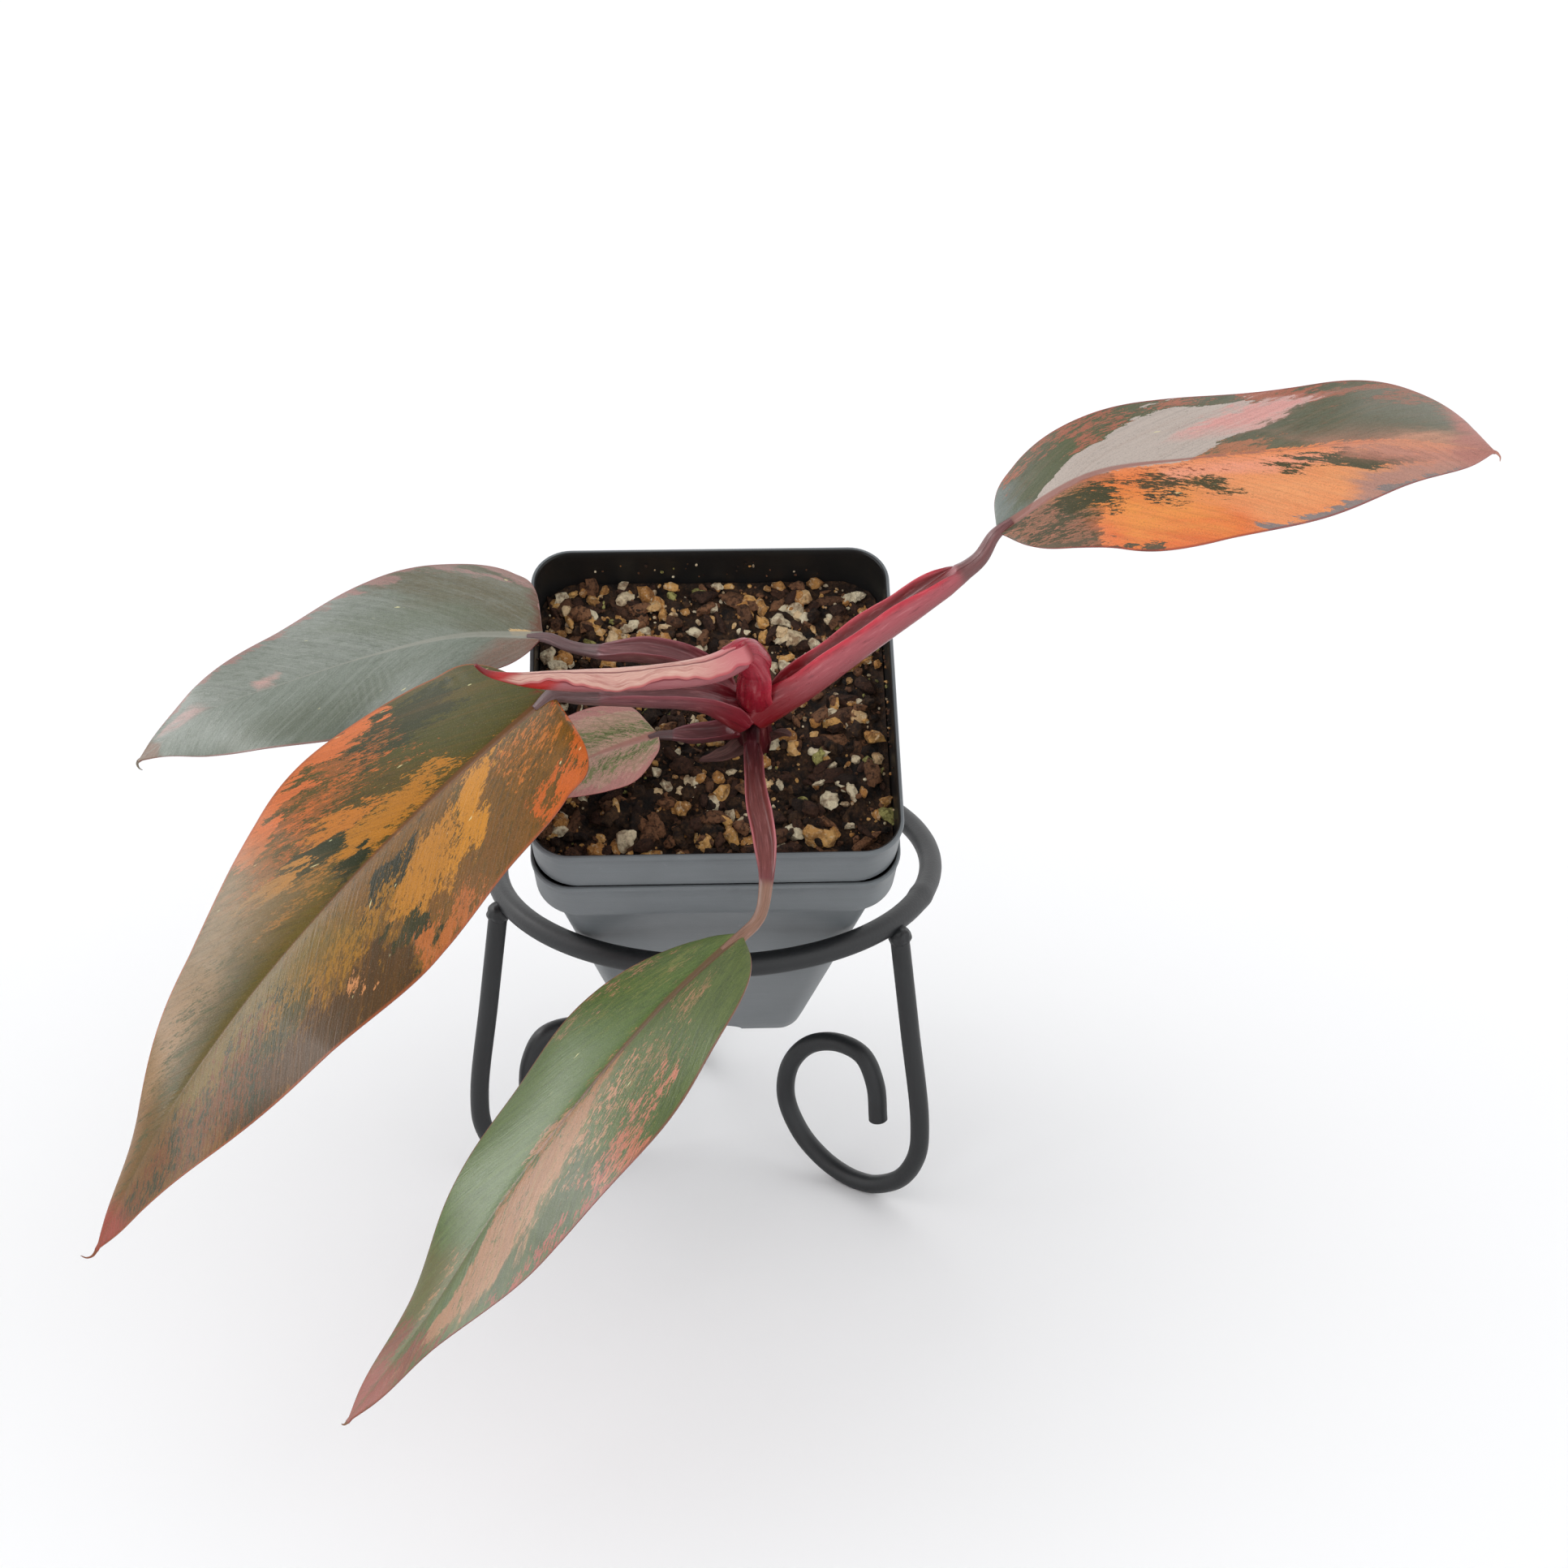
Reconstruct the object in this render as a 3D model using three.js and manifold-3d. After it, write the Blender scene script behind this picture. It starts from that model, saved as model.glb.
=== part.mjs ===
// A potted Princess of Fire philodendron, leaning forward in a round iron pot stand.
// Millimetres and degrees, +Z up. The stand's axis is upright, and the plant's longest leaves
// reach out along X.

import * as THREE from 'three';
import { mergeVertices } from 'three/addons/utils/BufferGeometryUtils.js';
import Module from 'manifold-3d';

const wasm = await Module();
wasm.setup();

// Pieces that touch keep this gap.
const FIT_GAP = 0.3;

// The stand: a welded ring on three legs bent from round bar, each ending in a scroll.
const RING = { radius: 57.8, height: 84, rod: 3, sides: 8, steps: 48 };
const LEG = {
  rod: 2.5, sides: 8, steps: 38, bead: 3.4, beadHeight: 80.2, beadRadius: 60.6,
  straight: 2, outermost: 68.1, lowest: 2.3,
};
const LEGS = {
  front_right: { azimuth: -37, scroll: 1 },
  back: { azimuth: 101, scroll: 1.063 },
  front_left: { azimuth: 203, scroll: 1 },
};
// Distance from the stand's axis and height, from the weld down to the scroll's free end.
const LEG_LINE = [
  [60.3, 82.6], [64.3, 55.0], [68.1, 28.0], [67.4, 17.5], [62.5, 8.6], [54.5, 3.4],
  [49.6, 2.3], [44.4, 2.4], [37.0, 4.6], [29.2, 10.2], [24.2, 19.5], [25.4, 30.0],
  [32.0, 38.8], [41.5, 42.8], [49.5, 41.6], [53.6, 34.5], [54.8, 23.5],
];

// Two square nursery pots of one size, nested: heights are measured from a pot's own rim.
const POT = {
  rimHalf: 45, rimInner: 43.9, collarHalf: 44.3, collar: 14.5, ledge: 0.8, wall: 0.9,
  bodyTop: 41.5, bodyBottom: 25, height: 116.5, floor: 1.2, foot: 4,
  notch: 8, notchHeight: 3.6, hole: 3.2, holeSpread: 13,
};
const POT_CORNER = { rim: 10, collar: 11, bodyTop: 9, bodyBottom: 7, segments: 4 };
const NEST_STEP = POT.collar + FIT_GAP;
// The pot leans on the front of the ring, and its floor stands on the back leg's scroll.
const POT_CENTRE = [1.4, -41.9, 150.3];
const POT_TILT = { forward: 33.3, turn: 2.8, side: 1.7 };

const SOIL = { top: -12.6, tallest: -9.4, chunks: 130, smallest: 2.4, largest: 6.5, seed: 29 };
const STEM = { x: 10, y: -5, bottom: -30, hole: 4.8 };

const BLADE = { thick: 0.7, ridge: 0.8, narrowest: 0.5 };
// Where along a leaf its half widths are given.
const WIDTH_STATIONS = [0, 0.03, 0.1, 0.25, 0.45, 0.65, 0.85, 0.95, 1];

const COLOUR = {
  iron: 0x1b1c1e, pot: 0x3a3d40, soil: 0x35261c, stem: 0x6d1f2c, petiole: 0x7d2a35,
  darkPetiole: 0x54363f, dried: 0x5d3b33, newLeaf: 0xb56a6c,
  right: 0xc0683f, back: 0x5d6a5f, left: 0x7a5a2c, front: 0x3f5a33, low: 0x9a7f6b,
};

const radians = THREE.MathUtils.degToRad;
const mix = THREE.MathUtils.lerp;

function material(colour, roughness, metalness = 0) {
  return new THREE.MeshStandardMaterial({ color: colour, roughness, metalness });
}

// A closed geometry as a solid, with its faces turned outward.
function solid(geometry) {
  const plain = geometry.clone();
  plain.deleteAttribute('normal');
  plain.deleteAttribute('uv');
  const merged = mergeVertices(plain, 1e-4);
  const corners = merged.index.array;
  const faces = [];
  for (let i = 0; i < corners.length; i += 3) {
    const [a, b, c] = [corners[i], corners[i + 1], corners[i + 2]];
    if (a !== b && b !== c && c !== a) faces.push(a, b, c);
  }
  const shape = (order) => new wasm.Manifold(new wasm.Mesh({
    numProp: 3,
    vertProperties: new Float32Array(merged.attributes.position.array),
    triVerts: new Uint32Array(order),
  }));
  const first = shape(faces);
  return first.volume() > 0 ? first : shape([...faces].reverse());
}

// The largest body of a cut solid, as a geometry.
function geometryOf(body) {
  const pieces = body.decompose().sort((a, b) => b.volume() - a.volume());
  const mesh = pieces[0].getMesh();
  const geometry = new THREE.BufferGeometry();
  geometry.setAttribute('position', new THREE.BufferAttribute(mesh.vertProperties, 3));
  geometry.setIndex(new THREE.BufferAttribute(mesh.triVerts, 1));
  return geometry;
}

function node(name, geometry, look) {
  const mesh = new THREE.Mesh(geometry, look);
  mesh.name = name;
  return mesh;
}

// A closed skin over rings of equally many points, with a fan over each end.
function loft(rings) {
  const count = rings[0].length;
  const points = rings.flat();
  const faces = [];
  for (let r = 0; r + 1 < rings.length; r += 1) {
    for (let i = 0; i < count; i += 1) {
      const a = r * count + i;
      const b = r * count + (i + 1) % count;
      faces.push(a, b, b + count, a, b + count, a + count);
    }
  }
  for (const [r, flip] of [[0, true], [rings.length - 1, false]]) {
    const middle = new THREE.Vector3();
    rings[r].forEach((p) => middle.addScaledVector(p, 1 / count));
    const centre = points.push(middle) - 1;
    for (let i = 0; i < count; i += 1) {
      const a = r * count + i;
      const b = r * count + (i + 1) % count;
      faces.push(...(flip ? [b, a, centre] : [a, b, centre]));
    }
  }
  const geometry = new THREE.BufferGeometry().setFromPoints(points);
  geometry.setIndex(faces);
  return geometry;
}

// Round bar bent along a curve.
function bar(curve, radius, sides, steps) {
  const section = new THREE.Shape();
  for (let i = 0; i < sides; i += 1) {
    const angle = ((i + 0.5) / sides) * 2 * Math.PI;
    const reach = radius / Math.cos(Math.PI / sides);
    const move = i === 0 ? 'moveTo' : 'lineTo';
    section[move](reach * Math.cos(angle), reach * Math.sin(angle));
  }
  return new THREE.ExtrudeGeometry(section, { extrudePath: curve, steps, curveSegments: 1 });
}

function ringSolid(grow = 0) {
  const profile = [];
  for (let i = 0; i <= RING.sides; i += 1) {
    const angle = ((i + 0.5) / RING.sides) * 2 * Math.PI;
    const reach = (RING.rod + grow) / Math.cos(Math.PI / RING.sides);
    profile.push(new THREE.Vector2(RING.radius + reach * Math.cos(angle), reach * Math.sin(angle)));
  }
  const hoop = new THREE.LatheGeometry(profile, RING.steps);
  hoop.rotateX(Math.PI / 2);
  hoop.translate(0, 0, RING.height);
  return solid(hoop);
}

// A leg, with its weld bead under the ring and a small flat where it stands. The back leg's
// scroll is bent a little larger, up to the floor of the pot.
function legSolid({ azimuth, scroll }) {
  const angle = radians(azimuth);
  const place = (radius, height) => new THREE.Vector3(
    radius * Math.cos(angle), radius * Math.sin(angle), height);
  const grown = ([r, z], i) => (i <= LEG.straight
    ? place(r, z)
    : place(LEG.outermost - (LEG.outermost - r) * scroll, LEG.lowest + (z - LEG.lowest) * scroll));
  const line = new THREE.CatmullRomCurve3(LEG_LINE.map(grown));
  const bead = new THREE.IcosahedronGeometry(LEG.bead, 1);
  const at = place(LEG.beadRadius, LEG.beadHeight);
  bead.translate(at.x, at.y, at.z);
  const floor = new THREE.BoxGeometry(200, 200, 20);
  floor.translate(0, 0, -10);
  return solid(bar(line, LEG.rod, LEG.sides, LEG.steps))
    .add(solid(bead))
    .subtract(ringSolid(FIT_GAP))
    .subtract(solid(floor));
}

function standGroup() {
  const stand = new THREE.Group();
  const iron = material(COLOUR.iron, 0.55);
  stand.add(node('stand_ring', geometryOf(ringSolid()), iron));
  for (const [side, leg] of Object.entries(LEGS)) {
    stand.add(node(`stand_leg_${side}`, geometryOf(legSolid(leg)), iron));
  }
  return stand;
}

// A square with round corners, as a ring of points.
function roundSquare(half, corner, height) {
  const points = [];
  for (let k = 0; k < 4; k += 1) {
    const sideX = k === 0 || k === 3 ? 1 : -1;
    const sideY = k < 2 ? 1 : -1;
    for (let i = 0; i <= POT_CORNER.segments; i += 1) {
      const angle = radians(90 * (k + i / POT_CORNER.segments));
      points.push(new THREE.Vector3(
        sideX * (half - corner) + corner * Math.cos(angle),
        sideY * (half - corner) + corner * Math.sin(angle),
        height));
    }
  }
  return points;
}

function potGeometry() {
  const low = -POT.height;
  const step = -POT.collar;
  const foot = (height, wall) => roundSquare(
    POT.bodyBottom - wall, POT_CORNER.bodyBottom - wall, height);
  const rings = [
    foot(low + POT.foot, POT.wall),
    foot(low, POT.wall),
    foot(low, 0),
    roundSquare(POT.bodyTop, POT_CORNER.bodyTop, step - POT.ledge),
    roundSquare(POT.collarHalf, POT_CORNER.collar, step),
    roundSquare(POT.rimHalf - 0.2, POT_CORNER.rim, -1.4),
    roundSquare(POT.rimHalf, POT_CORNER.rim, -0.6),
    roundSquare(POT.rimHalf - 0.3, POT_CORNER.rim, 0),
    roundSquare(POT.rimInner, POT_CORNER.rim - POT.wall, -0.2),
    roundSquare(POT.collarHalf - POT.wall, POT_CORNER.collar - POT.wall, step + POT.wall),
    roundSquare(POT.bodyTop - POT.wall, POT_CORNER.bodyTop - POT.wall, step - 0.2),
    foot(low + POT.foot + POT.floor, POT.wall - 0.4),
  ];
  let pot = solid(loft(rings));
  const spread = POT.holeSpread;
  const corners = [[spread, spread], [-spread, spread], [-spread, -spread], [spread, -spread]];
  for (const [x, y] of [[0, 0], ...corners]) {
    const drill = new THREE.CylinderGeometry(POT.hole, POT.hole, 10, 10);
    drill.rotateX(Math.PI / 2);
    drill.translate(x, y, low + POT.foot);
    pot = pot.subtract(solid(drill));
  }
  // A notch in the foot at the middle of each side lets water out.
  for (const turn of [0, 90]) {
    const notch = new THREE.CylinderGeometry(POT.notch, POT.notch, 3 * POT.bodyBottom, 12);
    notch.scale(1, 1, POT.notchHeight / POT.notch);
    notch.rotateZ(radians(turn));
    notch.translate(0, 0, low);
    pot = pot.subtract(solid(notch));
  }
  return geometryOf(pot);
}

// Random numbers that are the same on each run.
function seeded(seed) {
  let state = seed;
  return () => {
    state = (state * 1664525 + 1013904223) % 4294967296;
    return state / 4294967296;
  };
}

// Potting mix: one body up to the soil's level, with bark, pumice and grit standing out of it.
function soilGeometry() {
  const inside = FIT_GAP + POT.wall;
  const low = -POT.height + POT.foot + POT.floor + FIT_GAP;
  const wide = (height) => roundSquare(
    POT.collarHalf - inside, POT_CORNER.collar - inside, height);
  let soil = solid(loft([
    roundSquare(POT.bodyBottom - inside, POT_CORNER.bodyBottom - inside, low),
    roundSquare(POT.bodyTop - inside, POT_CORNER.bodyTop - inside, -POT.collar + 0.1),
    wide(-POT.collar + 1.3),
    wide(SOIL.top),
  ]));
  const random = seeded(SOIL.seed);
  const chunks = [];
  const reach = POT.collarHalf - inside - 0.2;
  for (let i = 0; i < SOIL.chunks; i += 1) {
    const size = mix(SOIL.smallest, SOIL.largest, random() ** 2.2) / 2;
    const chunk = new THREE.IcosahedronGeometry(size, 0);
    chunk.scale(mix(0.9, 1.35, random()), mix(0.8, 1.1, random()), mix(0.55, 0.9, random()));
    chunk.rotateZ(random() * 2 * Math.PI);
    chunk.rotateX(mix(-0.3, 0.3, random()));
    const limit = reach - 1.4 * size;
    const x = mix(-limit, limit, random());
    const cornerCut = Math.max(0, Math.abs(x) - limit + 4);
    const y = mix(-limit + cornerCut, limit - cornerCut, random());
    const height = Math.min(SOIL.top + 0.25 * size, SOIL.tallest - size);
    chunk.translate(x, y, height);
    chunks.push(solid(chunk));
  }
  soil = wasm.Manifold.union([soil, ...chunks]);
  const hole = new THREE.CylinderGeometry(STEM.hole, STEM.hole, 60, 12);
  hole.rotateX(Math.PI / 2);
  hole.translate(STEM.x, STEM.y, STEM.bottom - FIT_GAP + 30);
  return geometryOf(soil.subtract(solid(hole)));
}

function potGroup() {
  const group = new THREE.Group();
  group.position.set(...POT_CENTRE);
  group.rotation.set(radians(POT_TILT.forward), radians(POT_TILT.side), radians(POT_TILT.turn), 'YXZ');
  const plastic = material(COLOUR.pot, 0.45);
  group.add(node('inner_pot', potGeometry(), plastic));
  const outer = node('outer_pot', potGeometry(), plastic);
  outer.position.z = -NEST_STEP;
  group.add(outer);
  group.add(node('soil', soilGeometry(), material(COLOUR.soil, 0.95)));
  group.updateMatrix();
  return group;
}

const pots = potGroup();

// A point of the pot's own frame, whose origin is the middle of the inner pot's rim.
const inPot = (x, y, z) => new THREE.Vector3(x, y, z).applyMatrix4(pots.matrix);
const point = (p) => (p.isVector3 ? p : new THREE.Vector3(...p));

// A stalk: its radius and its sheath's height change along it. The sheath is the pair of wings
// that stand up beside the groove on its upper side.
function stalk({ line, radius, sheath = [0, 0], wing = 0, up = [0, 0, 1], steps = 14 }, grow = 0) {
  const points = line.map(point);
  const [first, last] = [points[0], points[points.length - 1]];
  points[0] = first.clone().addScaledVector(first.clone().sub(points[1]).normalize(), grow);
  points[points.length - 1] = last.clone()
    .addScaledVector(last.clone().sub(points[points.length - 2]).normalize(), grow);
  const curve = new THREE.CatmullRomCurve3(points, false, 'centripetal');
  const widths = new THREE.LinearInterpolant(
    radius.map((_, i) => i / (radius.length - 1)), radius, 1);
  const rings = [];
  for (let k = 0; k <= steps; k += 1) {
    const s = k / steps;
    const middle = curve.getPointAt(s);
    const forward = curve.getTangentAt(s);
    const across = new THREE.Vector3().crossVectors(forward, new THREE.Vector3(...up)).normalize();
    const above = new THREE.Vector3().crossVectors(across, forward);
    const r = widths.evaluate(s)[0] + grow;
    const inSheath = (s - sheath[0]) / (sheath[1] - sheath[0] || 1);
    const open = inSheath > 0 && inSheath < 1 ? Math.sin(Math.PI * inSheath) ** 0.4 : 0;
    const lip = r * 0.5 + wing * open;
    const section = [
      [r, 0], [r * 0.9, lip], [mix(0.55, 0.62, open) * r, mix(0.82 * r, lip, open)],
      [0, mix(r, r * 0.35, open * (grow > 0 ? 0.3 : 1))],
      [-mix(0.55, 0.62, open) * r, mix(0.82 * r, lip, open)], [-r * 0.9, lip], [-r, 0],
      [-r * 0.7, -r * 0.7], [0, -r], [r * 0.7, -r * 0.7],
    ];
    rings.push(section.map(([x, y]) => middle.clone()
      .addScaledVector(across, x)
      .addScaledVector(above, y)));
  }
  return solid(loft(rings));
}

// A leaf blade. The rib runs from base to tip; right and left are its half widths, seen from
// above and looking along the rib. Roll lifts the right side and fold lifts both.
function blade({
  rib, right, left, roll, fold, wave, waves = 3, phase = 0, cup = 0, along = 20, across = 4,
}) {
  const curve = new THREE.CatmullRomCurve3(rib.map(point), false, 'centripetal');
  const halfWidth = {
    right: new THREE.CubicInterpolant(WIDTH_STATIONS, [0, ...right, 0], 1),
    left: new THREE.CubicInterpolant(WIDTH_STATIONS, [0, ...left, 0], 1),
  };
  const lift = Math.sin(radians(fold));
  const spread = Math.cos(radians(fold));
  const upper = [];
  const lower = [];
  const columns = 2 * across + 1;
  for (let k = 0; k <= along; k += 1) {
    const s = (1 - Math.cos(Math.PI * (k / along) ** 0.9)) / 2;
    const middle = curve.getPointAt(s);
    const forward = curve.getTangentAt(s);
    const level = new THREE.Vector3().crossVectors(forward, new THREE.Vector3(0, 0, 1)).normalize();
    const aside = level.clone().applyAxisAngle(forward, -radians(mix(roll[0], roll[1], s)));
    const above = new THREE.Vector3().crossVectors(aside, forward);
    for (let j = 0; j < columns; j += 1) {
      const a = j / across - 1;
      const side = a > 0 ? 'right' : 'left';
      const half = Math.max(BLADE.narrowest, halfWidth[side].evaluate(s)[0]);
      const out = Math.abs(a) * half;
      const ripple = wave * a * a * Math.sin(2 * Math.PI * waves * s + phase + (a > 0 ? 0 : 2));
      const full = Math.min(1, half / 8);
      const height = out * lift + cup * a * a * half + ripple * full;
      const at = middle.clone()
        .addScaledVector(aside, Math.sign(a) * out * spread)
        .addScaledVector(above, height);
      const ridge = j === across ? BLADE.ridge : 0;
      upper.push(at.clone().addScaledVector(above, BLADE.thick / 2));
      lower.push(at.clone().addScaledVector(above, -BLADE.thick / 2 - ridge));
    }
  }
  return bladeGeometry(upper, lower, columns);
}

// Joins the two faces of a blade, split into the same triangles, with a rim around them.
function bladeGeometry(upper, lower, columns) {
  const rows = upper.length / columns;
  const faces = [];
  for (let k = 0; k + 1 < rows; k += 1) {
    for (let j = 0; j + 1 < columns; j += 1) {
      const a = k * columns + j;
      const [b, c, d] = [a + 1, a + columns, a + columns + 1];
      faces.push(a, b, d, a, d, c);
      const u = upper.length;
      faces.push(a + u, d + u, b + u, a + u, c + u, d + u);
    }
  }
  const rim = [];
  for (let j = 0; j < columns; j += 1) rim.push(j);
  for (let k = 1; k < rows; k += 1) rim.push(k * columns + columns - 1);
  for (let j = columns - 2; j >= 0; j -= 1) rim.push((rows - 1) * columns + j);
  for (let k = rows - 2; k > 0; k -= 1) rim.push(k * columns);
  rim.forEach((a, i) => {
    const b = rim[(i + 1) % rim.length];
    const u = upper.length;
    faces.push(a, a + u, b, b, a + u, b + u);
  });
  const geometry = new THREE.BufferGeometry().setFromPoints([...upper, ...lower]);
  geometry.setIndex(faces);
  return solid(geometry);
}

// The stem stands in a plain hole in the soil, along the pot's axis.
const stem = {
  line: [
    inPot(STEM.x, STEM.y, STEM.bottom), inPot(STEM.x, STEM.y, -20), inPot(STEM.x, STEM.y, -11),
    inPot(STEM.x, STEM.y - 0.4, -3), inPot(STEM.x + 0.4, STEM.y - 0.8, 6),
  ],
  radius: [3.4, 4.0, 4.1, 4.6, 3.6, 2.2],
  up: [1, 0, 0],
};

const stalks = {
  new_leaf_petiole: {
    line: [inPot(10.2, -6, 4), [11.8, -57, 160], [12.4, -60, 165.6], [10.5, -62.5, 170.6]],
    radius: [4.4, 4.0, 3.4, 3.2], sheath: [0, 0.8], wing: 1.2, up: [1, 0, 0.4], steps: 8,
  },
  right_petiole: {
    line: [[12, -52, 151], [23, -56, 160], [38, -58, 172.6], [50, -58, 181.6], [58, -57, 187],
      [64.5, -56, 191.8], [68, -55, 197.8]],
    radius: [5.0, 4.7, 4.3, 4.0, 2.3, 1.8], sheath: [0.03, 0.8], wing: 2.8, up: [0, -0.35, 1],
  },
  left_petiole: {
    line: [[9, -52, 150], [-1, -58, 157], [-15, -61, 159], [-29, -63, 160], [-35.3, -64, 161]],
    radius: [4.4, 3.2, 2.7, 2.3, 2.0], sheath: [0.02, 0.6], wing: 1.4, up: [0, -0.3, 1], steps: 12,
  },
  front_petiole: {
    line: [[10.5, -50, 144.5], [11, -60, 143.5], [12, -76, 138.6], [14, -88.5, 133], [14.5, -97, 127.5],
      [13, -103.5, 122], [9.4, -106.2, 119.8]],
    radius: [2.6, 2.4, 2.5, 2.7, 1.8, 1.6, 1.6], sheath: [0.1, 0.78], wing: 1.8, up: [0.25, -0.2, 1],
  },
  back_petiole: {
    line: [[9, -46, 149], [-3, -45, 160], [-14, -44, 163], [-25, -42, 162.2], [-33, -40, 162.8],
      [-39.3, -38, 165]],
    radius: [3.0, 2.6, 2.6, 2.4, 1.4, 1.4], sheath: [0.1, 0.72], wing: 1.8, up: [0, -0.4, 1], steps: 12,
  },
  low_petiole: {
    line: [inPot(8, -5, -6.2), inPot(1.5, -6.4, -6.4), inPot(-5, -7.2, -6.2), inPot(-13, -7.2, -5.6)],
    radius: [2.2, 1.9, 2.0, 1.3], sheath: [0.15, 0.85], wing: 1.6, up: [0, -0.5, 0.85], steps: 8,
  },
};

const blades = {
  right_leaf: {
    rib: [[68.4, -55, 198.4], [90, -49, 210], [114, -43, 212], [139, -39, 213], [163, -36, 214],
      [188, -35, 211]],
    right: [7.5, 15, 22.5, 23, 18.5, 11, 5], left: [7.5, 13.5, 18, 20.3, 20.2, 18.4, 10.5],
    roll: [-32, -32], fold: -6, wave: 0.8, waves: 2.5, phase: 0.6,
  },
  back_leaf: {
    rib: [[-40, -38, 165], [-61, -36, 164], [-82, -36, 159], [-102, -38, 153], [-123, -41, 146],
      [-140, -46, 135]],
    right: [13, 21.5, 26.4, 23.6, 16.8, 7, 3.3], left: [4.5, 10, 14.6, 21.3, 18.9, 11.2, 3.2],
    roll: [27, 27], fold: -3, wave: 0.9, waves: 2.5, phase: 2,
  },
  left_leaf: {
    rib: [[-36, -64, 161], [-60, -81, 145], [-82, -101, 129], [-102, -121, 111], [-120, -138, 89],
      [-136, -148, 61]],
    right: [18.5, 28, 34, 28, 17.5, 6.5, 2.6], left: [19, 26, 30, 31, 24.5, 12, 5],
    roll: [14, 14], fold: 0, wave: 1, waves: 3, phase: 1,
  },
  front_leaf: {
    rib: [[9, -106.5, 119.6], [-9, -124, 110], [-27, -142, 96], [-44, -158, 79], [-59, -172, 60],
      [-76, -184, 41]],
    right: [6, 13.5, 18, 17.5, 13, 6, 3], left: [7, 15, 21, 23.5, 18, 7, 3],
    roll: [0, 0], fold: 0, wave: 0.8, waves: 3, phase: 3,
  },
  low_leaf: {
    rib: [inPot(-13.6, -7.2, -5.2), inPot(-27.4, -14.5, -1.6), inPot(-37, -21.7, 2),
      inPot(-47, -28, 4.6), inPot(-56, -33, 4)],
    right: [7.5, 10.5, 13, 12, 8, 4, 1.6], left: [3.5, 7, 11.3, 11.4, 7.5, 3.5, 1.5],
    roll: [26, 26], fold: 4, wave: 0.4, waves: 2, along: 14, across: 3,
  },
};

// The new leaf is still rolled up: a tapering tube with its free edge lapped round it.
function rolledLeaf() {
  const line = new THREE.CatmullRomCurve3([
    [10.5, -62.8, 171], [2, -66, 168], [-13, -69, 167], [-32, -73, 168], [-43, -75, 169.4],
    [-50, -76, 171.4], [-52.5, -77, 173.8],
  ].map(point), false, 'centripetal');
  const widths = new THREE.CubicInterpolant(
    [0, 0.06, 0.25, 0.5, 0.75, 0.9, 1], [2.6, 3.2, 3.1, 2.9, 2.2, 1.1, 0.5], 1);
  const steps = 18;
  const sides = 12;
  const rings = [];
  for (let k = 0; k <= steps; k += 1) {
    const s = k / steps;
    const middle = line.getPointAt(s);
    const forward = line.getTangentAt(s);
    const across = new THREE.Vector3().crossVectors(forward, new THREE.Vector3(0, 0, 1)).normalize();
    const above = new THREE.Vector3().crossVectors(across, forward);
    const r = widths.evaluate(s)[0];
    const ring = [];
    for (let i = 0; i < sides; i += 1) {
      const angle = (i / sides) * 2 * Math.PI - 0.7 - 0.9 * s;
      const reach = r * (0.86 + 0.26 * (i / (sides - 1)));
      ring.push(middle.clone()
        .addScaledVector(across, reach * Math.cos(angle))
        .addScaledVector(above, reach * Math.sin(angle)));
    }
    rings.push(ring);
  }
  return solid(loft(rings));
}

// Brown remains of old sheaths, curled round the foot of the stem.
const scales = {
  dried_sheath_left: {
    rib: [inPot(7.4, -7.4, -9.4), inPot(4, -11.2, -8), inPot(0.4, -12.8, -7.6), inPot(-3.6, -13.4, -7.8)],
    right: [1.6, 2.2, 2.6, 2.4, 2, 1.2, 0.8], left: [1.6, 2.2, 2.6, 2.4, 2, 1.2, 0.8],
    roll: [26, 26], fold: 24, wave: 0, along: 8, across: 2,
  },
  dried_sheath_right: {
    rib: [inPot(13, -6, -9.6), inPot(15.4, -6.8, -6.6), inPot(17, -8.2, -3.8), inPot(18.6, -10, -2)],
    right: [1.4, 2, 2.4, 2.2, 1.6, 1, 0.7], left: [1.4, 2, 2.4, 2.2, 1.6, 1, 0.7],
    roll: [0, 0], fold: 20, wave: 0, along: 8, across: 2,
  },
};

function plantGroup() {
  const plant = new THREE.Group();
  plant.add(node('stem', geometryOf(stalk(stem)), material(COLOUR.stem, 0.5)));
  // Each stalk starts at the stem and lies against those before it.
  const inTheWay = [stalk(stem, FIT_GAP)];
  for (const [name, spec] of Object.entries(stalks)) {
    const clear = inTheWay.reduce((body, other) => body.subtract(other), stalk(spec));
    const dark = name === 'back_petiole' || name === 'low_petiole' || name === 'left_petiole';
    plant.add(node(name, geometryOf(clear), material(dark ? COLOUR.darkPetiole : COLOUR.petiole, 0.45)));
    inTheWay.push(stalk(spec, FIT_GAP));
  }
  const cutClear = (body) => inTheWay.reduce((left, other) => left.subtract(other), body);
  plant.add(node('new_leaf', geometryOf(cutClear(rolledLeaf())), material(COLOUR.newLeaf, 0.45)));
  for (const [name, spec] of Object.entries(blades)) {
    const colour = COLOUR[name.replace('_leaf', '')];
    plant.add(node(name, geometryOf(cutClear(blade(spec))), material(colour, 0.4)));
  }
  for (const [name, spec] of Object.entries(scales)) {
    plant.add(node(name, geometryOf(cutClear(blade(spec))), material(COLOUR.dried, 0.8)));
  }
  return plant;
}

// The origin is under the middle of the whole object, on the surface that it stands on.
const assembly = new THREE.Group();
assembly.add(standGroup(), pots, plantGroup());
const extent = new THREE.Box3().setFromObject(assembly, true);
const middle = extent.getCenter(new THREE.Vector3());
assembly.position.set(-middle.x, -middle.y, -extent.min.z);

const part = new THREE.Group();
part.add(assembly);

export default part;
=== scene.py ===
import math

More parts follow.
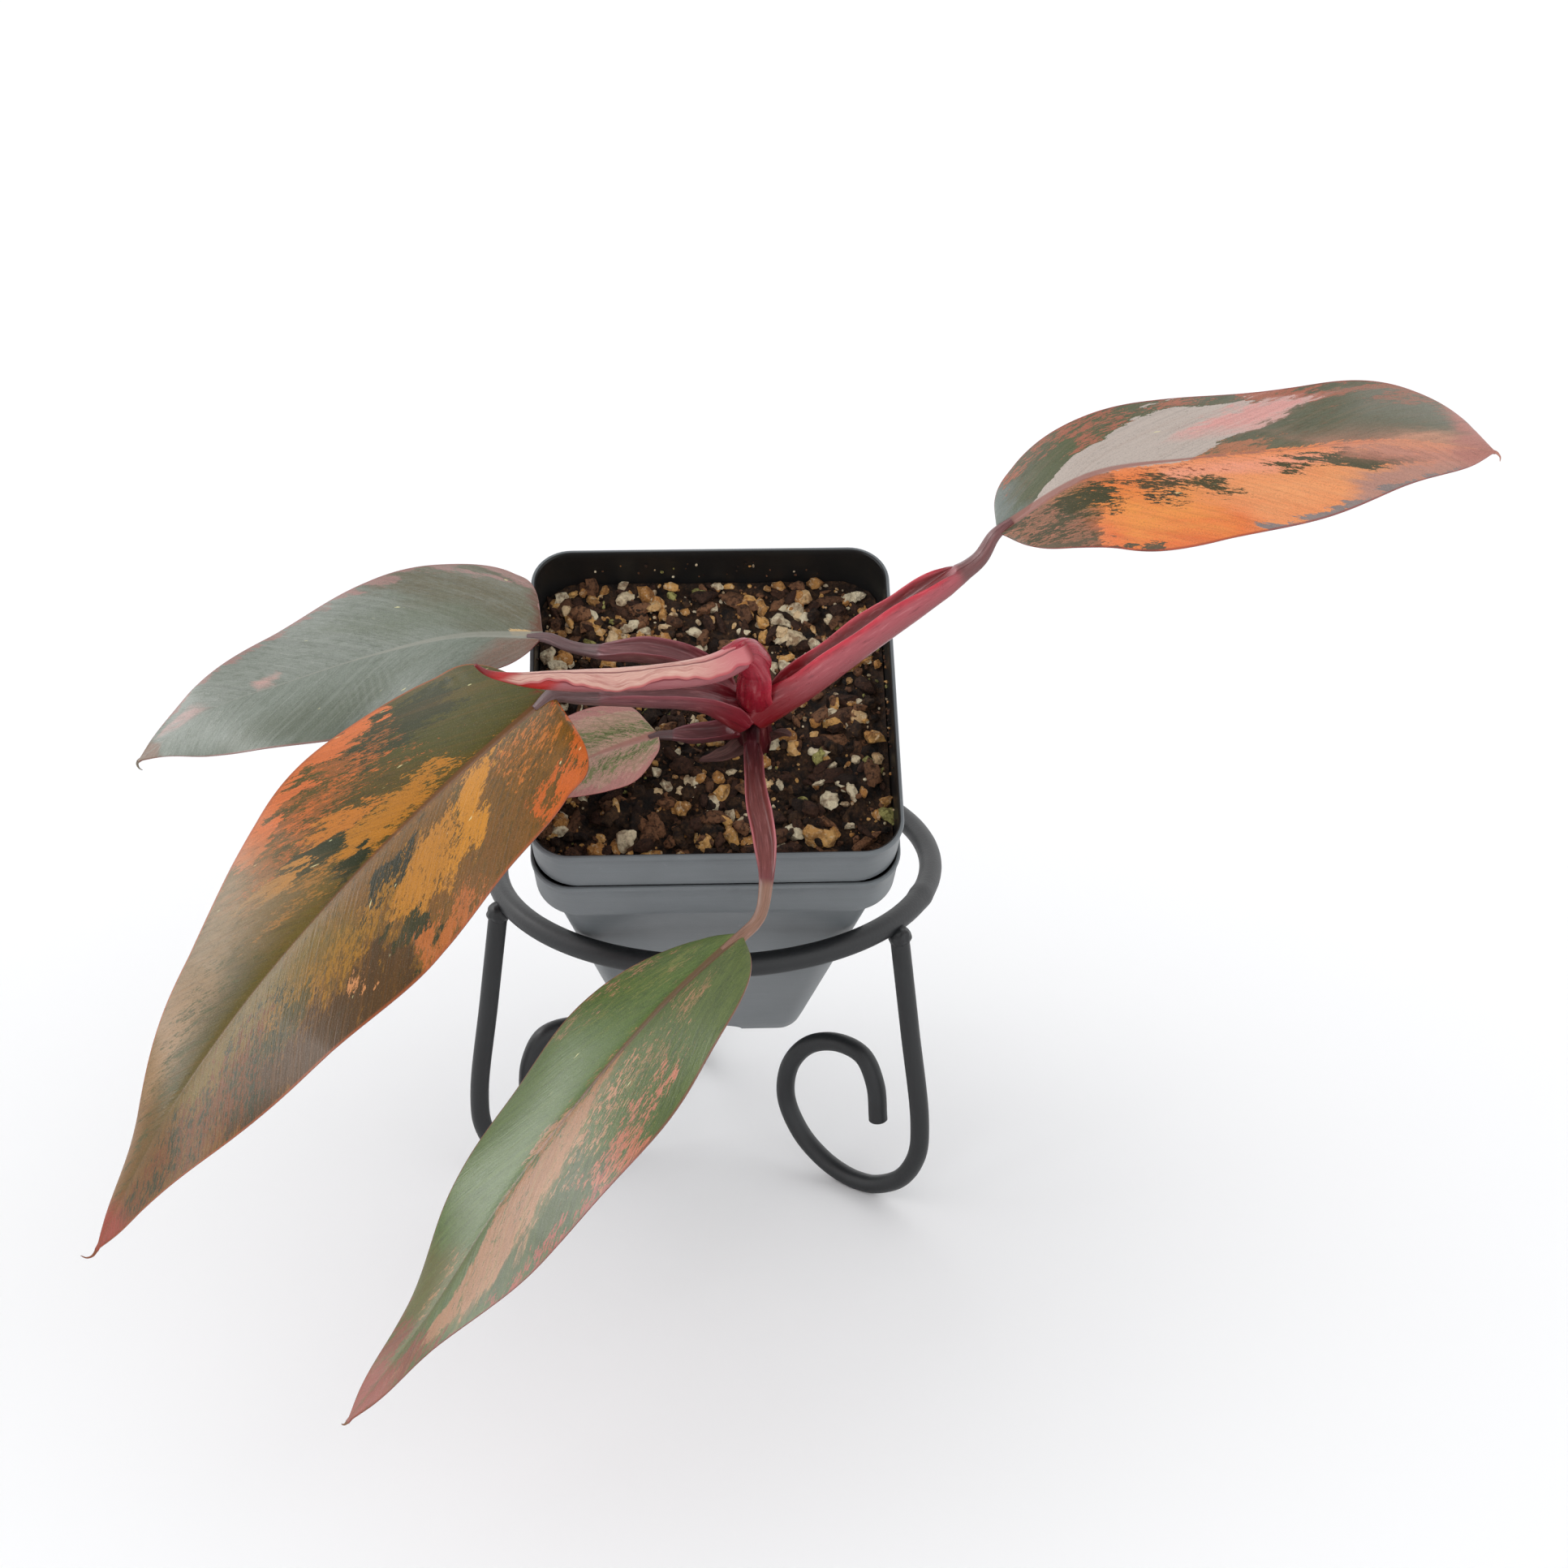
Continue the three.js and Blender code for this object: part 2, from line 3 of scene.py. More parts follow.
import bmesh
import bpy
import numpy as np
from mathutils import Matrix, Vector, noise


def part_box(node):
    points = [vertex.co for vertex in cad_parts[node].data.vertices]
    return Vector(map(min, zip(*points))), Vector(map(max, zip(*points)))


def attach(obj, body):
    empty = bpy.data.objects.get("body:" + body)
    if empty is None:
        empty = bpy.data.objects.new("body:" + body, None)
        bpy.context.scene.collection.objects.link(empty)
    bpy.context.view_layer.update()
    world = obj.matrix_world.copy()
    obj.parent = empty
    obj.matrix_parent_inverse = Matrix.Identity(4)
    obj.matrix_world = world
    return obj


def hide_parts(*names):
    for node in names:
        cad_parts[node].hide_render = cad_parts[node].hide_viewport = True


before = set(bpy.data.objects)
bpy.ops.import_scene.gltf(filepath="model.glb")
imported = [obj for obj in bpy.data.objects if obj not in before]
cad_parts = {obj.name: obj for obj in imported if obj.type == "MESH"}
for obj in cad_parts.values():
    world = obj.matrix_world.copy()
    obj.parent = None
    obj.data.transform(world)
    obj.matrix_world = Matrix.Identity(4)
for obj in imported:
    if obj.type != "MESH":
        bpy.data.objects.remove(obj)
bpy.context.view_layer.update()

# The ring: a hoop of round steel bar, its ends butt-welded and ground smooth, then powder
# coated matte black. Sizes are in millimetres from the stand's upright axis and its floor.
RING_RADIUS = 57.8
RING_HEIGHT = 84.0
RING_ROD = 3.0
RING_SEAM = math.radians(-20)
SEAM_SWELL = 0.25
SEAM_WIDTH = 0.04
RING_STEPS = 200
ROD_SIDES = 28
CRISP_BEND = 35
POWDER_BLACK = (0.0080, 0.0088, 0.0100)

ring_low, ring_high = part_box("stand_ring")
STAND_AXIS = np.array([(ring_low.x + ring_high.x) / 2, (ring_low.y + ring_high.y) / 2, 0.0])


def skin(rings, closed=False):
    """Points and faces of a skin over rings of equally many points, closed at its ends."""
    rows, around = rings.shape[:2]
    here = np.arange(rows * around).reshape(rows, around)
    beside = np.roll(here, -1, axis=1)
    beyond, beyond_beside = np.roll(here, -1, axis=0), np.roll(beside, -1, axis=0)
    quads = np.stack([here, beside, beyond_beside, beyond], axis=-1)
    points = rings.reshape(-1, 3)
    if closed:
        return points, quads.reshape(-1, 4).tolist()
    faces = quads[:-1].reshape(-1, 4).tolist()
    for end in (0, rows - 1):
        centre = len(points)
        points = np.vstack([points, rings[end].mean(axis=0)])
        faces += [[a, b, centre] for a, b in zip(here[end].tolist(), beside[end].tolist())]
    return points, faces


def make(name, points, faces, finish, marks=None, sharp=CRISP_BEND):
    """A smooth shaded object from points in the stand's millimetres. Marks are numbers kept on
    its points for its finish to read. Edges that bend by more than sharp degrees are crisp."""
    mesh = bpy.data.meshes.new(name)
    mesh.from_pydata((np.asarray(points) / 1000 + STAND_AXIS).tolist(), [], faces)
    for mark, numbers in (marks or {}).items():
        kept = mesh.attributes.new(mark, "FLOAT", "POINT")
        kept.data.foreach_set("value", np.asarray(numbers, np.float32).ravel())
    work = bmesh.new()
    work.from_mesh(mesh)
    bmesh.ops.recalc_face_normals(work, faces=work.faces)
    work.to_mesh(mesh)
    work.free()
    mesh.shade_smooth()
    mesh.set_sharp_from_angle(angle=math.radians(sharp))
    mesh.materials.append(finish)
    thing = bpy.data.objects.new(name, mesh)
    bpy.context.scene.collection.objects.link(thing)
    return thing


class Shade:
    """A socket in a finish, so that what is worked out from it reads as plain sums."""

    def __init__(self, tree, socket=None):
        self.tree = tree
        self.socket = socket

    def node(self, kind, settings=None, sockets=None, output=0):
        """A new node: its settings come first, then the values or links of its sockets."""
        made = self.tree.nodes.new(kind)
        for name, value in (settings or {}).items():
            setattr(made, name, value)
        for name, value in (sockets or {}).items():
            if isinstance(value, Shade):
                self.tree.links.new(value.socket, made.inputs[name])
            else:
                made.inputs[name].default_value = value
        return Shade(self.tree, made.outputs[output])

    def sums(self, operation, *values):
        return self.node("ShaderNodeMath", {"operation": operation}, dict(enumerate(values)))

    def __add__(self, other):
        return self.sums("ADD", self, other)

    __radd__ = __add__

    def __sub__(self, other):
        return self.sums("SUBTRACT", self, other)

    def __rsub__(self, other):
        return self.sums("SUBTRACT", other, self)

    def __mul__(self, other):
        return self.sums("MULTIPLY", self, other)

    __rmul__ = __mul__

    def __truediv__(self, other):
        return self.sums("DIVIDE", self, other)

    def __rtruediv__(self, other):
        return self.sums("DIVIDE", other, self)

    def __abs__(self):
        return self.sums("ABSOLUTE", self)

    def least(self, other):
        return self.sums("MINIMUM", self, other)

    def most(self, other):
        return self.sums("MAXIMUM", self, other)

    def rise(self, low, high):
        """0 below low and 1 above high, with a smooth step between them."""
        return self.node(
            "ShaderNodeMapRange", {"interpolation_type": "SMOOTHSTEP"},
            {"Value": self, "From Min": low, "From Max": high})

    def coated(self, *coats):
        """This colour with coats on it, each a colour and the share that it covers."""
        top = self
        for colour, share in coats:
            sockets = {0: share, 6: top, 7: colour}
            top = self.node("ShaderNodeMix", {"data_type": "RGBA"}, sockets, output=2)
        return top

    def mark(self, name):
        """A number kept on the points of the piece."""
        return self.node("ShaderNodeAttribute", {"attribute_name": name}, output="Fac")

    def place(self):
        """Where the point is, in metres."""
        return self.node("ShaderNodeTexCoord", output="Object")

    def at(self, x, y, z=0.0):
        """A place, or a colour, from three numbers."""
        return self.node("ShaderNodeCombineXYZ", sockets={0: x, 1: y, 2: z})

    def way(self, axis):
        """How far this place lies along X, Y or Z."""
        return self.node("ShaderNodeSeparateXYZ", sockets={0: self}, output=axis)

    def plain(self, colour):
        """One colour all over."""
        return self.at(*colour[:3])

    def grain(self, scale, detail, roughness=0.5):
        """Cloudy noise in patches 1 / scale across, read at this place. It lies mostly between
        0.3 and 0.7, and is spread to about 0 to 1."""
        raw = self.node(
            "ShaderNodeTexNoise", {"normalize": True},
            {"Vector": self, "Scale": scale, "Detail": detail, "Roughness": roughness})
        return (raw - 0.3) * 2.5


def seen(red, green, blue):
    """A colour as the eye gives it, 0 to 255, turned into the light it reflects."""
    parts = [c / 255 for c in (red, green, blue)]
    return (*[c / 12.92 if c <= 0.04045 else ((c + 0.055) / 1.055) ** 2.4 for c in parts], 1.0)


def new_finish(name):
    """A new finish, and the empty sheet that its shades are written on."""
    material = bpy.data.materials.new(name)
    material.use_nodes = True
    return material, Shade(material.node_tree)


def lay_on(material, colour, roughness, relief=None, depth=0.1, normal_share=1.0, **fixed):
    """Gives a finish its colour, its roughness and a relief that is depth millimetres high."""
    sheet = Shade(material.node_tree)
    shader = material.node_tree.nodes["Principled BSDF"]
    sockets = {"Base Color": colour, "Roughness": roughness}
    sockets.update({name.replace("_", " "): value for name, value in fixed.items()})
    if relief is not None:
        sockets["Normal"] = sheet.node("ShaderNodeBump", sockets={
            "Height": relief, "Distance": depth / 1000, "Strength": normal_share})
    for name, value in sockets.items():
        if isinstance(value, Shade):
            sheet.tree.links.new(value.socket, shader.inputs[name])
        else:
            shader.inputs[name].default_value = value


def powder_coat():
    """Matte black powder coat: fine orange peel, with a little dust in soft patches."""
    material, sheet = new_finish("powder_coat")
    place = sheet.place()
    peel = place.grain(1400, 3)
    cloud = place.grain(45, 3)
    colour = sheet.plain(POWDER_BLACK).coated((seen(46, 49, 52), cloud.rise(0.5, 1.1) * 0.3))
    lay_on(material, colour, 0.40 + 0.12 * cloud, peel, 0.05, 0.5)
    return material


black_iron = powder_coat()

turn = np.linspace(0, 2 * math.pi, RING_STEPS, endpoint=False)
around = np.linspace(0, 2 * math.pi, ROD_SIDES, endpoint=False)
from_seam = np.abs((turn - RING_SEAM + math.pi) % (2 * math.pi) - math.pi)
rod = (RING_ROD + SEAM_SWELL * np.exp(-(from_seam / SEAM_WIDTH) ** 2))[:, None]
reach = RING_RADIUS + rod * np.cos(around)
hoop = np.stack([
    reach * np.cos(turn)[:, None], reach * np.sin(turn)[:, None],
    RING_HEIGHT + rod * np.sin(around)], axis=-1)
ring = make("ring_hoop", *skin(hoop, closed=True), black_iron)
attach(ring, "root")
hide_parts("stand_ring")

# The legs: thinner steel bar, butt-welded under the ring with a rough bead, sprung outwards
# and bent at the floor into a scroll with a square cut end. The back one is wound larger.
LEG_ROD = 2.5
LEG_STEPS = 170
LEG_TURNED_FROM = 3
LEG_OUTERMOST = 68.1
LEG_LOWEST = 2.3
END_CHAMFER = 0.35
LEGS = {"front_right": (-37, 1.0), "back": (101, 1.063), "front_left": (203, 1.0)}
# Distance from the stand's axis and height, from the weld down to the scroll's free end.
LEG_LINE = np.array([
    [60.3, 82.6], [64.3, 55.0], [68.1, 28.0], [67.4, 17.5], [62.5, 8.6], [54.5, 3.4],
    [49.6, 2.3], [44.4, 2.4], [37.0, 4.6], [29.2, 10.2], [24.2, 19.5], [25.4, 30.0],
    [32.0, 38.8], [41.5, 42.8], [49.5, 41.6], [53.6, 34.5], [54.8, 23.5]])
BEAD_AT = (60.6, 81.0)
BEAD_SIZE = 3.0
BEAD_ROUGH = 0.4
BEAD_FINENESS = 4


def unit(vectors):
    return vectors / np.linalg.norm(vectors, axis=-1, keepdims=True)


def smooth_line(points, shares):
    """Places and directions along a smooth line through points, by shares of its length, and
    the length."""
    points = np.asarray(points, float)
    points = np.vstack([2 * points[0] - points[1], points, 2 * points[-1] - points[-2]])
    spans = len(points) - 3

    def at(t):
        t = np.clip(t, 0, 1) * spans
        first = np.minimum(t.astype(int), spans - 1)
        w = (t - first)[:, None]
        before, start, end, after = (points[first + i] for i in range(4))
        gaps = [((b - a) ** 2).sum(axis=1)[:, None] ** 0.25
                for a, b in ((before, start), (start, end), (end, after))]
        leave = ((start - before) / gaps[0] - (end - before) / (gaps[0] + gaps[1])
                 + (end - start) / gaps[1]) * gaps[1]
        arrive = ((end - start) / gaps[1] - (after - start) / (gaps[1] + gaps[2])
                  + (after - end) / gaps[2]) * gaps[1]
        return (start + leave * w + (-3 * start + 3 * end - 2 * leave - arrive) * w ** 2
                + (2 * start - 2 * end + leave + arrive) * w ** 3)

    fine = np.linspace(0, 1, 401)
    walked = np.r_[0, np.cumsum(np.linalg.norm(np.diff(at(fine), axis=0), axis=1))]
    t = np.interp(np.asarray(shares) * walked[-1], walked, fine)
    return at(t), unit(at(t + 1e-4) - at(t - 1e-4)), walked[-1]


def ball(fineness):
    """Points and faces of a ball of radius 1."""
    work = bmesh.new()
    bmesh.ops.create_icosphere(work, subdivisions=fineness, radius=1.0)
    points = np.array([vertex.co for vertex in work.verts])
    faces = [[v.index for v in face.verts] for face in work.faces]
    work.free()
    return points, faces


def weld_bead(centre, seed):
    """A rough bead of weld metal, as points and faces."""
    points, faces = ball(BEAD_FINENESS)
    ripples = [noise.noise(Vector(p) * 2.2 + Vector((seed, 0, 0))) for p in points]
    return centre + points * (BEAD_SIZE + BEAD_ROUGH * np.array(ripples))[:, None], faces


def cut(thing, how, *tools):
    """Joins the tools to a piece or cuts them out of it, uses them up, and keeps the new
    edges crisp."""
    for tool in tools:
        step = thing.modifiers.new("cut", "BOOLEAN")
        step.operation = how
        step.solver = "EXACT"
        step.object = tool
    done = thing.evaluated_get(bpy.context.evaluated_depsgraph_get())
    mesh = bpy.data.meshes.new_from_object(done)
    thing.modifiers.clear()
    mesh.set_sharp_from_angle(angle=math.radians(CRISP_BEND))
    thing.data = mesh
    for tool in tools:
        bpy.data.objects.remove(tool)


for seed, (side, (azimuth, wound)) in enumerate(LEGS.items()):
    line = LEG_LINE.copy()
    grown = line[LEG_TURNED_FROM:]
    grown[:, 0] = LEG_OUTERMOST - (LEG_OUTERMOST - grown[:, 0]) * wound
    grown[:, 1] = LEG_LOWEST + (grown[:, 1] - LEG_LOWEST) * wound
    outward = np.array([math.cos(math.radians(azimuth)), math.sin(math.radians(azimuth)), 0])
    upward = np.array([0.0, 0.0, 1.0])
    sideways = np.cross(upward, outward)
    spine = line[:, :1] * outward + line[:, 1:] * upward
    shares = np.linspace(0, 1, LEG_STEPS)
    length = smooth_line(spine, shares)[2]
    shares = np.r_[shares[:-1], 1 - END_CHAMFER / length, 1]
    middle, forward = smooth_line(spine, shares)[:2]
    rod = np.full(len(shares), LEG_ROD)
    rod[-1] = LEG_ROD - END_CHAMFER
    inward = np.cross(forward, sideways)
    rings = (middle[:, None] + rod[:, None, None] * (
        np.cos(around)[None, :, None] * sideways + np.sin(around)[None, :, None] * inward[:, None]))
    rings[..., 2] = np.maximum(rings[..., 2], 0)
    leg = make(f"leg_{side}", *skin(rings), black_iron)
    bead_at = BEAD_AT[0] * outward + BEAD_AT[1] * upward
    bead = make(f"bead_{side}", *weld_bead(bead_at, seed + 1), black_iron)
    cut(leg, "UNION", bead)
    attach(leg, "root")
    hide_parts(f"stand_leg_{side}")

# The two pots: square nursery pots of one size pressed from thin dark grey plastic, the first
# pushed into the second down to its collar. Five drain holes and a notch in each side of the foot.
RIM_HALF = 45.0
RIM_INNER = 43.9
COLLAR_HALF = 44.3
COLLAR = 14.5
WALL = 0.9
BODY_TOP = 41.5
BODY_BOTTOM = 25.0
POT_HEIGHT = 116.5
FOOT = 4.0
FLOOR = 1.2
NOTCH = (8.0, 3.6)
HOLE = 3.2
HOLE_SPREAD = 13.0
HOLE_SIDES = 32
DRILL_REACH = 5.0
NEST_STEP = 14.8
RIM_CORNER = 10.0
COLLAR_CORNER = 11.0
BODY_CORNER = 9.0
FOOT_CORNER = 7.0
ARC_POINTS = 14
SIDE_POINTS = 12
BODY_RINGS = 18
PLASTIC_GREY = (0.116, 0.128, 0.135)
INSIDE_SHADE_BLACK = (0.010, 0.010, 0.010)
POT_CENTRE = np.array([1.4, -41.9, 150.3])


def turned(axis, degrees):
    return np.array(Matrix.Rotation(math.radians(degrees), 3, axis))


POT_TURN = turned("Y", 1.7) @ turned("X", 33.3) @ turned("Z", 2.8)


def mix(low, high, share):
    return low + (high - low) * share


def in_pot(points):
    """Points of the pot's own frame, from the middle of its rim, in the stand's frame."""
    return np.asarray(points, float) @ POT_TURN.T + POT_CENTRE


def round_square(half, corner, height):
    """A square ring of points with round corners."""
    ring_points = []
    for quarter in range(4):
        angles = np.radians(90 * quarter + np.linspace(0, 90, ARC_POINTS))
        middle_x = (half - corner) * (1 if quarter in (0, 3) else -1)
        middle_y = (half - corner) * (1 if quarter < 2 else -1)
        ring_points += [
            (middle_x + corner * math.cos(t), middle_y + corner * math.sin(t)) for t in angles]
        ahead = math.radians(90 * (quarter + 1))
        along = np.array([-math.sin(ahead), math.cos(ahead)]) * 2 * (half - corner)
        start = np.array(ring_points[-1])
        ring_points += [tuple(start + along * i / SIDE_POINTS) for i in range(1, SIDE_POINTS)]
    return np.array([(x, y, height) for x, y in ring_points])


def charcoal_plastic():
    """Dark grey pressed plastic: satin, with faint flow lines and pale scuffs outside. Inside it is
    nearly black, which is painted shade, with specks of dirt."""
    material, sheet = new_finish("charcoal_plastic")
    place = sheet.place()
    fine = place.grain(2200, 2)
    cloud = place.grain(28, 4, 0.6)
    scuffs = place.grain(160, 5, 0.75)
    sides = sheet.at(sheet.mark("level") * 0.9, place.way("X") * 45, place.way("Y") * 45)
    flow = sides.grain(1.0, 4, 0.6)
    dirt = place.grain(700, 4, 0.7)
    # Painted shade: the inside wall is coloured nearly black, with specks of real dirt on it.
    inside_shade_and_dirt = sheet.plain(INSIDE_SHADE_BLACK).coated((seen(110, 82, 58), dirt.rise(0.95, 1.2) * 0.8))
    colour = sheet.plain(PLASTIC_GREY).coated(
        (seen(112, 117, 120), cloud.rise(0.2, 1.0) * 0.5),
        (seen(62, 66, 69), flow.rise(0.5, 1.1) * 0.08),
        (seen(138, 143, 146), (0.5 - flow).rise(0.0, 0.6) * 0.07),
        (seen(156, 158, 158), scuffs.rise(0.85, 1.2) * 0.4),
        (inside_shade_and_dirt, sheet.mark("within").rise(0.3, 0.7)))
    lay_on(material, colour, 0.34 + 0.12 * cloud, fine, 0.03, 0.4, Specular_IOR_Level=0.4)
    return material


grey_plastic = charcoal_plastic()


def pressed_pot(name, drop):
    """A pot that stands drop millimetres lower than the upper one. Its wall is a line of half
    widths, corner radii and heights, up the outside and down the inside."""
    low = -POT_HEIGHT
    inner_foot = BODY_BOTTOM - WALL
    inner_corner = FOOT_CORNER - WALL
    outside = [
        (inner_foot, inner_corner, low + FOOT),
        (inner_foot, inner_corner, low + 0.3),
        (inner_foot + 0.2, inner_corner, low),
        (BODY_BOTTOM - 0.2, FOOT_CORNER, low),
        (BODY_BOTTOM, FOOT_CORNER, low + 0.3)]
    for share in np.linspace(0.05, 0.96, BODY_RINGS):
        outside.append((
            mix(BODY_BOTTOM, BODY_TOP, share), mix(FOOT_CORNER, BODY_CORNER, share),
            low + (POT_HEIGHT - COLLAR - 0.8) * share))
    outside += [
        (BODY_TOP, BODY_CORNER, -COLLAR - 0.9),
        (BODY_TOP + 0.3, BODY_CORNER + 0.2, -COLLAR - 0.5),
        (COLLAR_HALF - 0.6, COLLAR_CORNER - 0.2, -COLLAR),
        (COLLAR_HALF - 0.15, COLLAR_CORNER, -COLLAR + 0.1),
        (COLLAR_HALF, COLLAR_CORNER, -COLLAR + 0.5),
        (COLLAR_HALF + 0.1, COLLAR_CORNER - 0.2, -COLLAR + 3),
        (COLLAR_HALF + 0.3, COLLAR_CORNER - 0.6, -6),
        (RIM_HALF - 0.25, RIM_CORNER, -1.7),
        (RIM_HALF - 0.05, RIM_CORNER, -1.3),
        (RIM_HALF, RIM_CORNER, -0.8),
        (RIM_HALF - 0.08, RIM_CORNER, -0.3),
        (RIM_HALF - 0.3, RIM_CORNER - 0.2, -0.05),
        (RIM_HALF - 0.6, RIM_CORNER - 0.5, 0)]
    inside = [
        (RIM_INNER + 0.1, RIM_CORNER - WALL, -0.08),
        (RIM_INNER - 0.1, RIM_CORNER - WALL, -0.4),
        (RIM_INNER - 0.2, RIM_CORNER - WALL, -2.5),
        (COLLAR_HALF - WALL, COLLAR_CORNER - WALL, -COLLAR + 1.3),
        (COLLAR_HALF - WALL - 0.2, COLLAR_CORNER - WALL, -COLLAR + 0.9),
        (BODY_TOP - WALL + 0.3, BODY_CORNER - WALL, -COLLAR + 0.1),
        (BODY_TOP - WALL, BODY_CORNER - WALL, -COLLAR - 0.4),
        (inner_foot + 0.6, inner_corner, low + FOOT + FLOOR + 1),
        (inner_foot, inner_corner, low + FOOT + FLOOR)]
    rings = np.stack([round_square(*row) for row in outside + inside])
    points, faces = skin(rings)
    points = points + np.array([0, 0, -drop])
    within = [0] * len(outside) + [1] * len(inside)
    within = np.r_[np.repeat(within, rings.shape[1]), 0, 1]
    marks = {"within": within, "level": points[:, 2]}
    pot = make(name, in_pot(points), faces, grey_plastic, marks)
    cutters = []
    spots = [(0, 0)] + [(x * HOLE_SPREAD, y * HOLE_SPREAD) for x in (-1, 1) for y in (-1, 1)]
    loop = np.linspace(0, 2 * math.pi, HOLE_SIDES, endpoint=False)
    for x, y in spots:
        cutters.append([
            np.stack([x + HOLE * np.cos(loop), y + HOLE * np.sin(loop), loop * 0 + z], -1)
            for z in (low + FOOT - DRILL_REACH - drop, low + FOOT + DRILL_REACH - drop)])
    wide, tall = NOTCH[0] * np.cos(loop), low - drop + NOTCH[1] * np.sin(loop)
    for across in (0, 1):
        ends = [loop * 0 + end for end in (-1.5 * BODY_BOTTOM, 1.5 * BODY_BOTTOM)]
        cutters.append([
            np.stack([wide, end, tall] if across else [end, wide, tall], -1) for end in ends])
    tools = []
    for cutter in cutters:
        points, faces = skin(np.stack(cutter))
        tools.append(make(f"{name}_cutter", in_pot(points), faces, grey_plastic))
    cut(pot, "DIFFERENCE", *tools)
    return pot


for node, drop in (("inner_pot", 0.0), ("outer_pot", NEST_STEP)):
    pot = pressed_pot(f"nursery_{node}", drop)
    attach(pot, "root")
    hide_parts(node)

# The potting mix: damp peat and coir with pine bark, pumice and grit, filled loose to a finger's
# width under the rim. The larger lumps stand out of it and the crumbs lie between them. Every
# ninth grain of grit clings to the pot's wall.
SOIL_TOP = -12.6
SOIL_TALLEST = -9.4
SOIL_HALF = 43.1
SOIL_CORNER = 9.8
LUMPS = 130
LUMP_SMALLEST = 2.4
LUMP_LARGEST = 6.5
LUMP_SEED = 29
BARK_STRETCH = np.array([1.4, 0.75, 0.7])
BARK_CHIP = (0.22, 7)
STONE_CHIP = (0.3, 16)
CRUMBS = 1500
CRUMB_SIZES = (0.45, 2.4)
GRITS = 1200
GRIT_SIZES = (0.18, 0.5)
GRIT_ON_WALL = 9
CRUMB_SEED = 11
HUMPS = 2.6
BED_RINGS = 64
SOIL_GAP = 0.3
LUMP_GAP = 0.2
PEAT, BARK, MOSSY, PUMICE = 0.0, 1.0, 2.0, 3.0


def seeded(state):
    """The same random numbers on each run."""
    while True:
        state = (state * 1664525 + 1013904223) % 4294967296
        yield state / 4294967296


def chipped(points, seed, rough, facets):
    """A ball's points, broken into a stone or a chip of bark by some flat facets."""
    directions = unit(np.random.default_rng(seed).normal(size=(facets, 3)))
    flat = np.max(points @ directions.T, axis=1, keepdims=True)
    broken = points / np.maximum(flat, 0.62) ** 0.85 * 0.8
    bumps = [noise.noise(Vector(p * 1.9) + Vector((seed % 97, 0, 0))) for p in points]
    return broken * (1 + rough * np.array(bumps)[:, None])


soil_points = []
soil_faces = []
soil_kind = []
soil_tint = []


def pour(points, faces, kind, tint):
    """Adds points and faces to the mix, with what they are made of and a tint from 0 to 1."""
    start = sum(len(p) for p in soil_points)
    soil_points.append(points)
    soil_faces.extend([i + start for i in face] for face in faces)
    soil_kind.append(np.full(len(points), kind))
    soil_tint.append(np.full(len(points), tint))


def humps(x, y):
    """How far the loose mix lies above or below its mean height."""
    coarse = noise.noise(Vector((x * 0.15, y * 0.15, 3.0)))
    fine = noise.noise(Vector((x * 0.7, y * 0.7, 9.0)))
    return (HUMPS * coarse + 0.8 * fine - 0.4) * min(1.0, (SOIL_HALF - max(abs(x), abs(y))) / 3)


soil_low = -POT_HEIGHT + FOOT + FLOOR + SOIL_GAP
bed = [round_square(*row) for row in (
    (23.8, 5.8, soil_low), (32, 6.5, -66), (40.3, 7.8, -14.4), (SOIL_HALF, SOIL_CORNER, -13.2))]
below = len(bed)
for share in np.linspace(1, 0.02, BED_RINGS):
    bed.append(round_square(SOIL_HALF, SOIL_CORNER, SOIL_TOP) * np.array([share, share, 1]))
bed = np.stack(bed)
for spot in bed[below:].reshape(-1, 3):
    spot[2] += humps(*spot[:2]) + 0.45 * noise.noise(Vector((spot[0] * 2.3, spot[1] * 2.3, 5.0)))
pour(*skin(bed), PEAT, 0.5)

random = seeded(LUMP_SEED)
fine_ball, fine_faces = ball(3)
small_ball, small_faces = ball(2)
lump_reach = COLLAR_HALF - WALL - SOIL_GAP - LUMP_GAP
for count in range(LUMPS):
    size = mix(LUMP_SMALLEST, LUMP_LARGEST, next(random) ** 2.2) / 2
    stretch = np.array([
        mix(0.9, 1.35, next(random)), mix(0.8, 1.1, next(random)), mix(0.55, 0.9, next(random))])
    spin = turned("Z", 360 * next(random))
    tip = turned("X", math.degrees(mix(-0.3, 0.3, next(random))))
    limit = lump_reach - 1.4 * size
    x = mix(-limit, limit, next(random))
    corner_cut = max(0, abs(x) - limit + 4)
    y = mix(-limit + corner_cut, limit - corner_cut, next(random))
    z = min(SOIL_TOP + 0.25 * size, SOIL_TALLEST - size)
    is_bark = (count * 7) % 10 < 4
    if is_bark:
        stretch = stretch * BARK_STRETCH
    shape = chipped(fine_ball, count + 3, *(BARK_CHIP if is_bark else STONE_CHIP))
    shape = shape * stretch * size @ spin.T @ tip.T + np.array([x, y, z])
    pour(shape, fine_faces, BARK if is_bark else PUMICE, (count * 37 % 100) / 100)

dust = np.random.default_rng(CRUMB_SEED)
grit_ball, grit_faces = ball(1)


def drawn_kind(x, y):
    """What a crumb is. Pumice lies thick in some spots, bark and peat in others."""
    pale = 0.36 + 0.006 * y + 0.6 * noise.noise(Vector((x * 0.13, y * 0.13, 20.0)))
    drawn = dust.random()
    if drawn < pale:
        return PUMICE
    if drawn > 0.975:
        return MOSSY
    return BARK if drawn < pale + 0.4 else PEAT


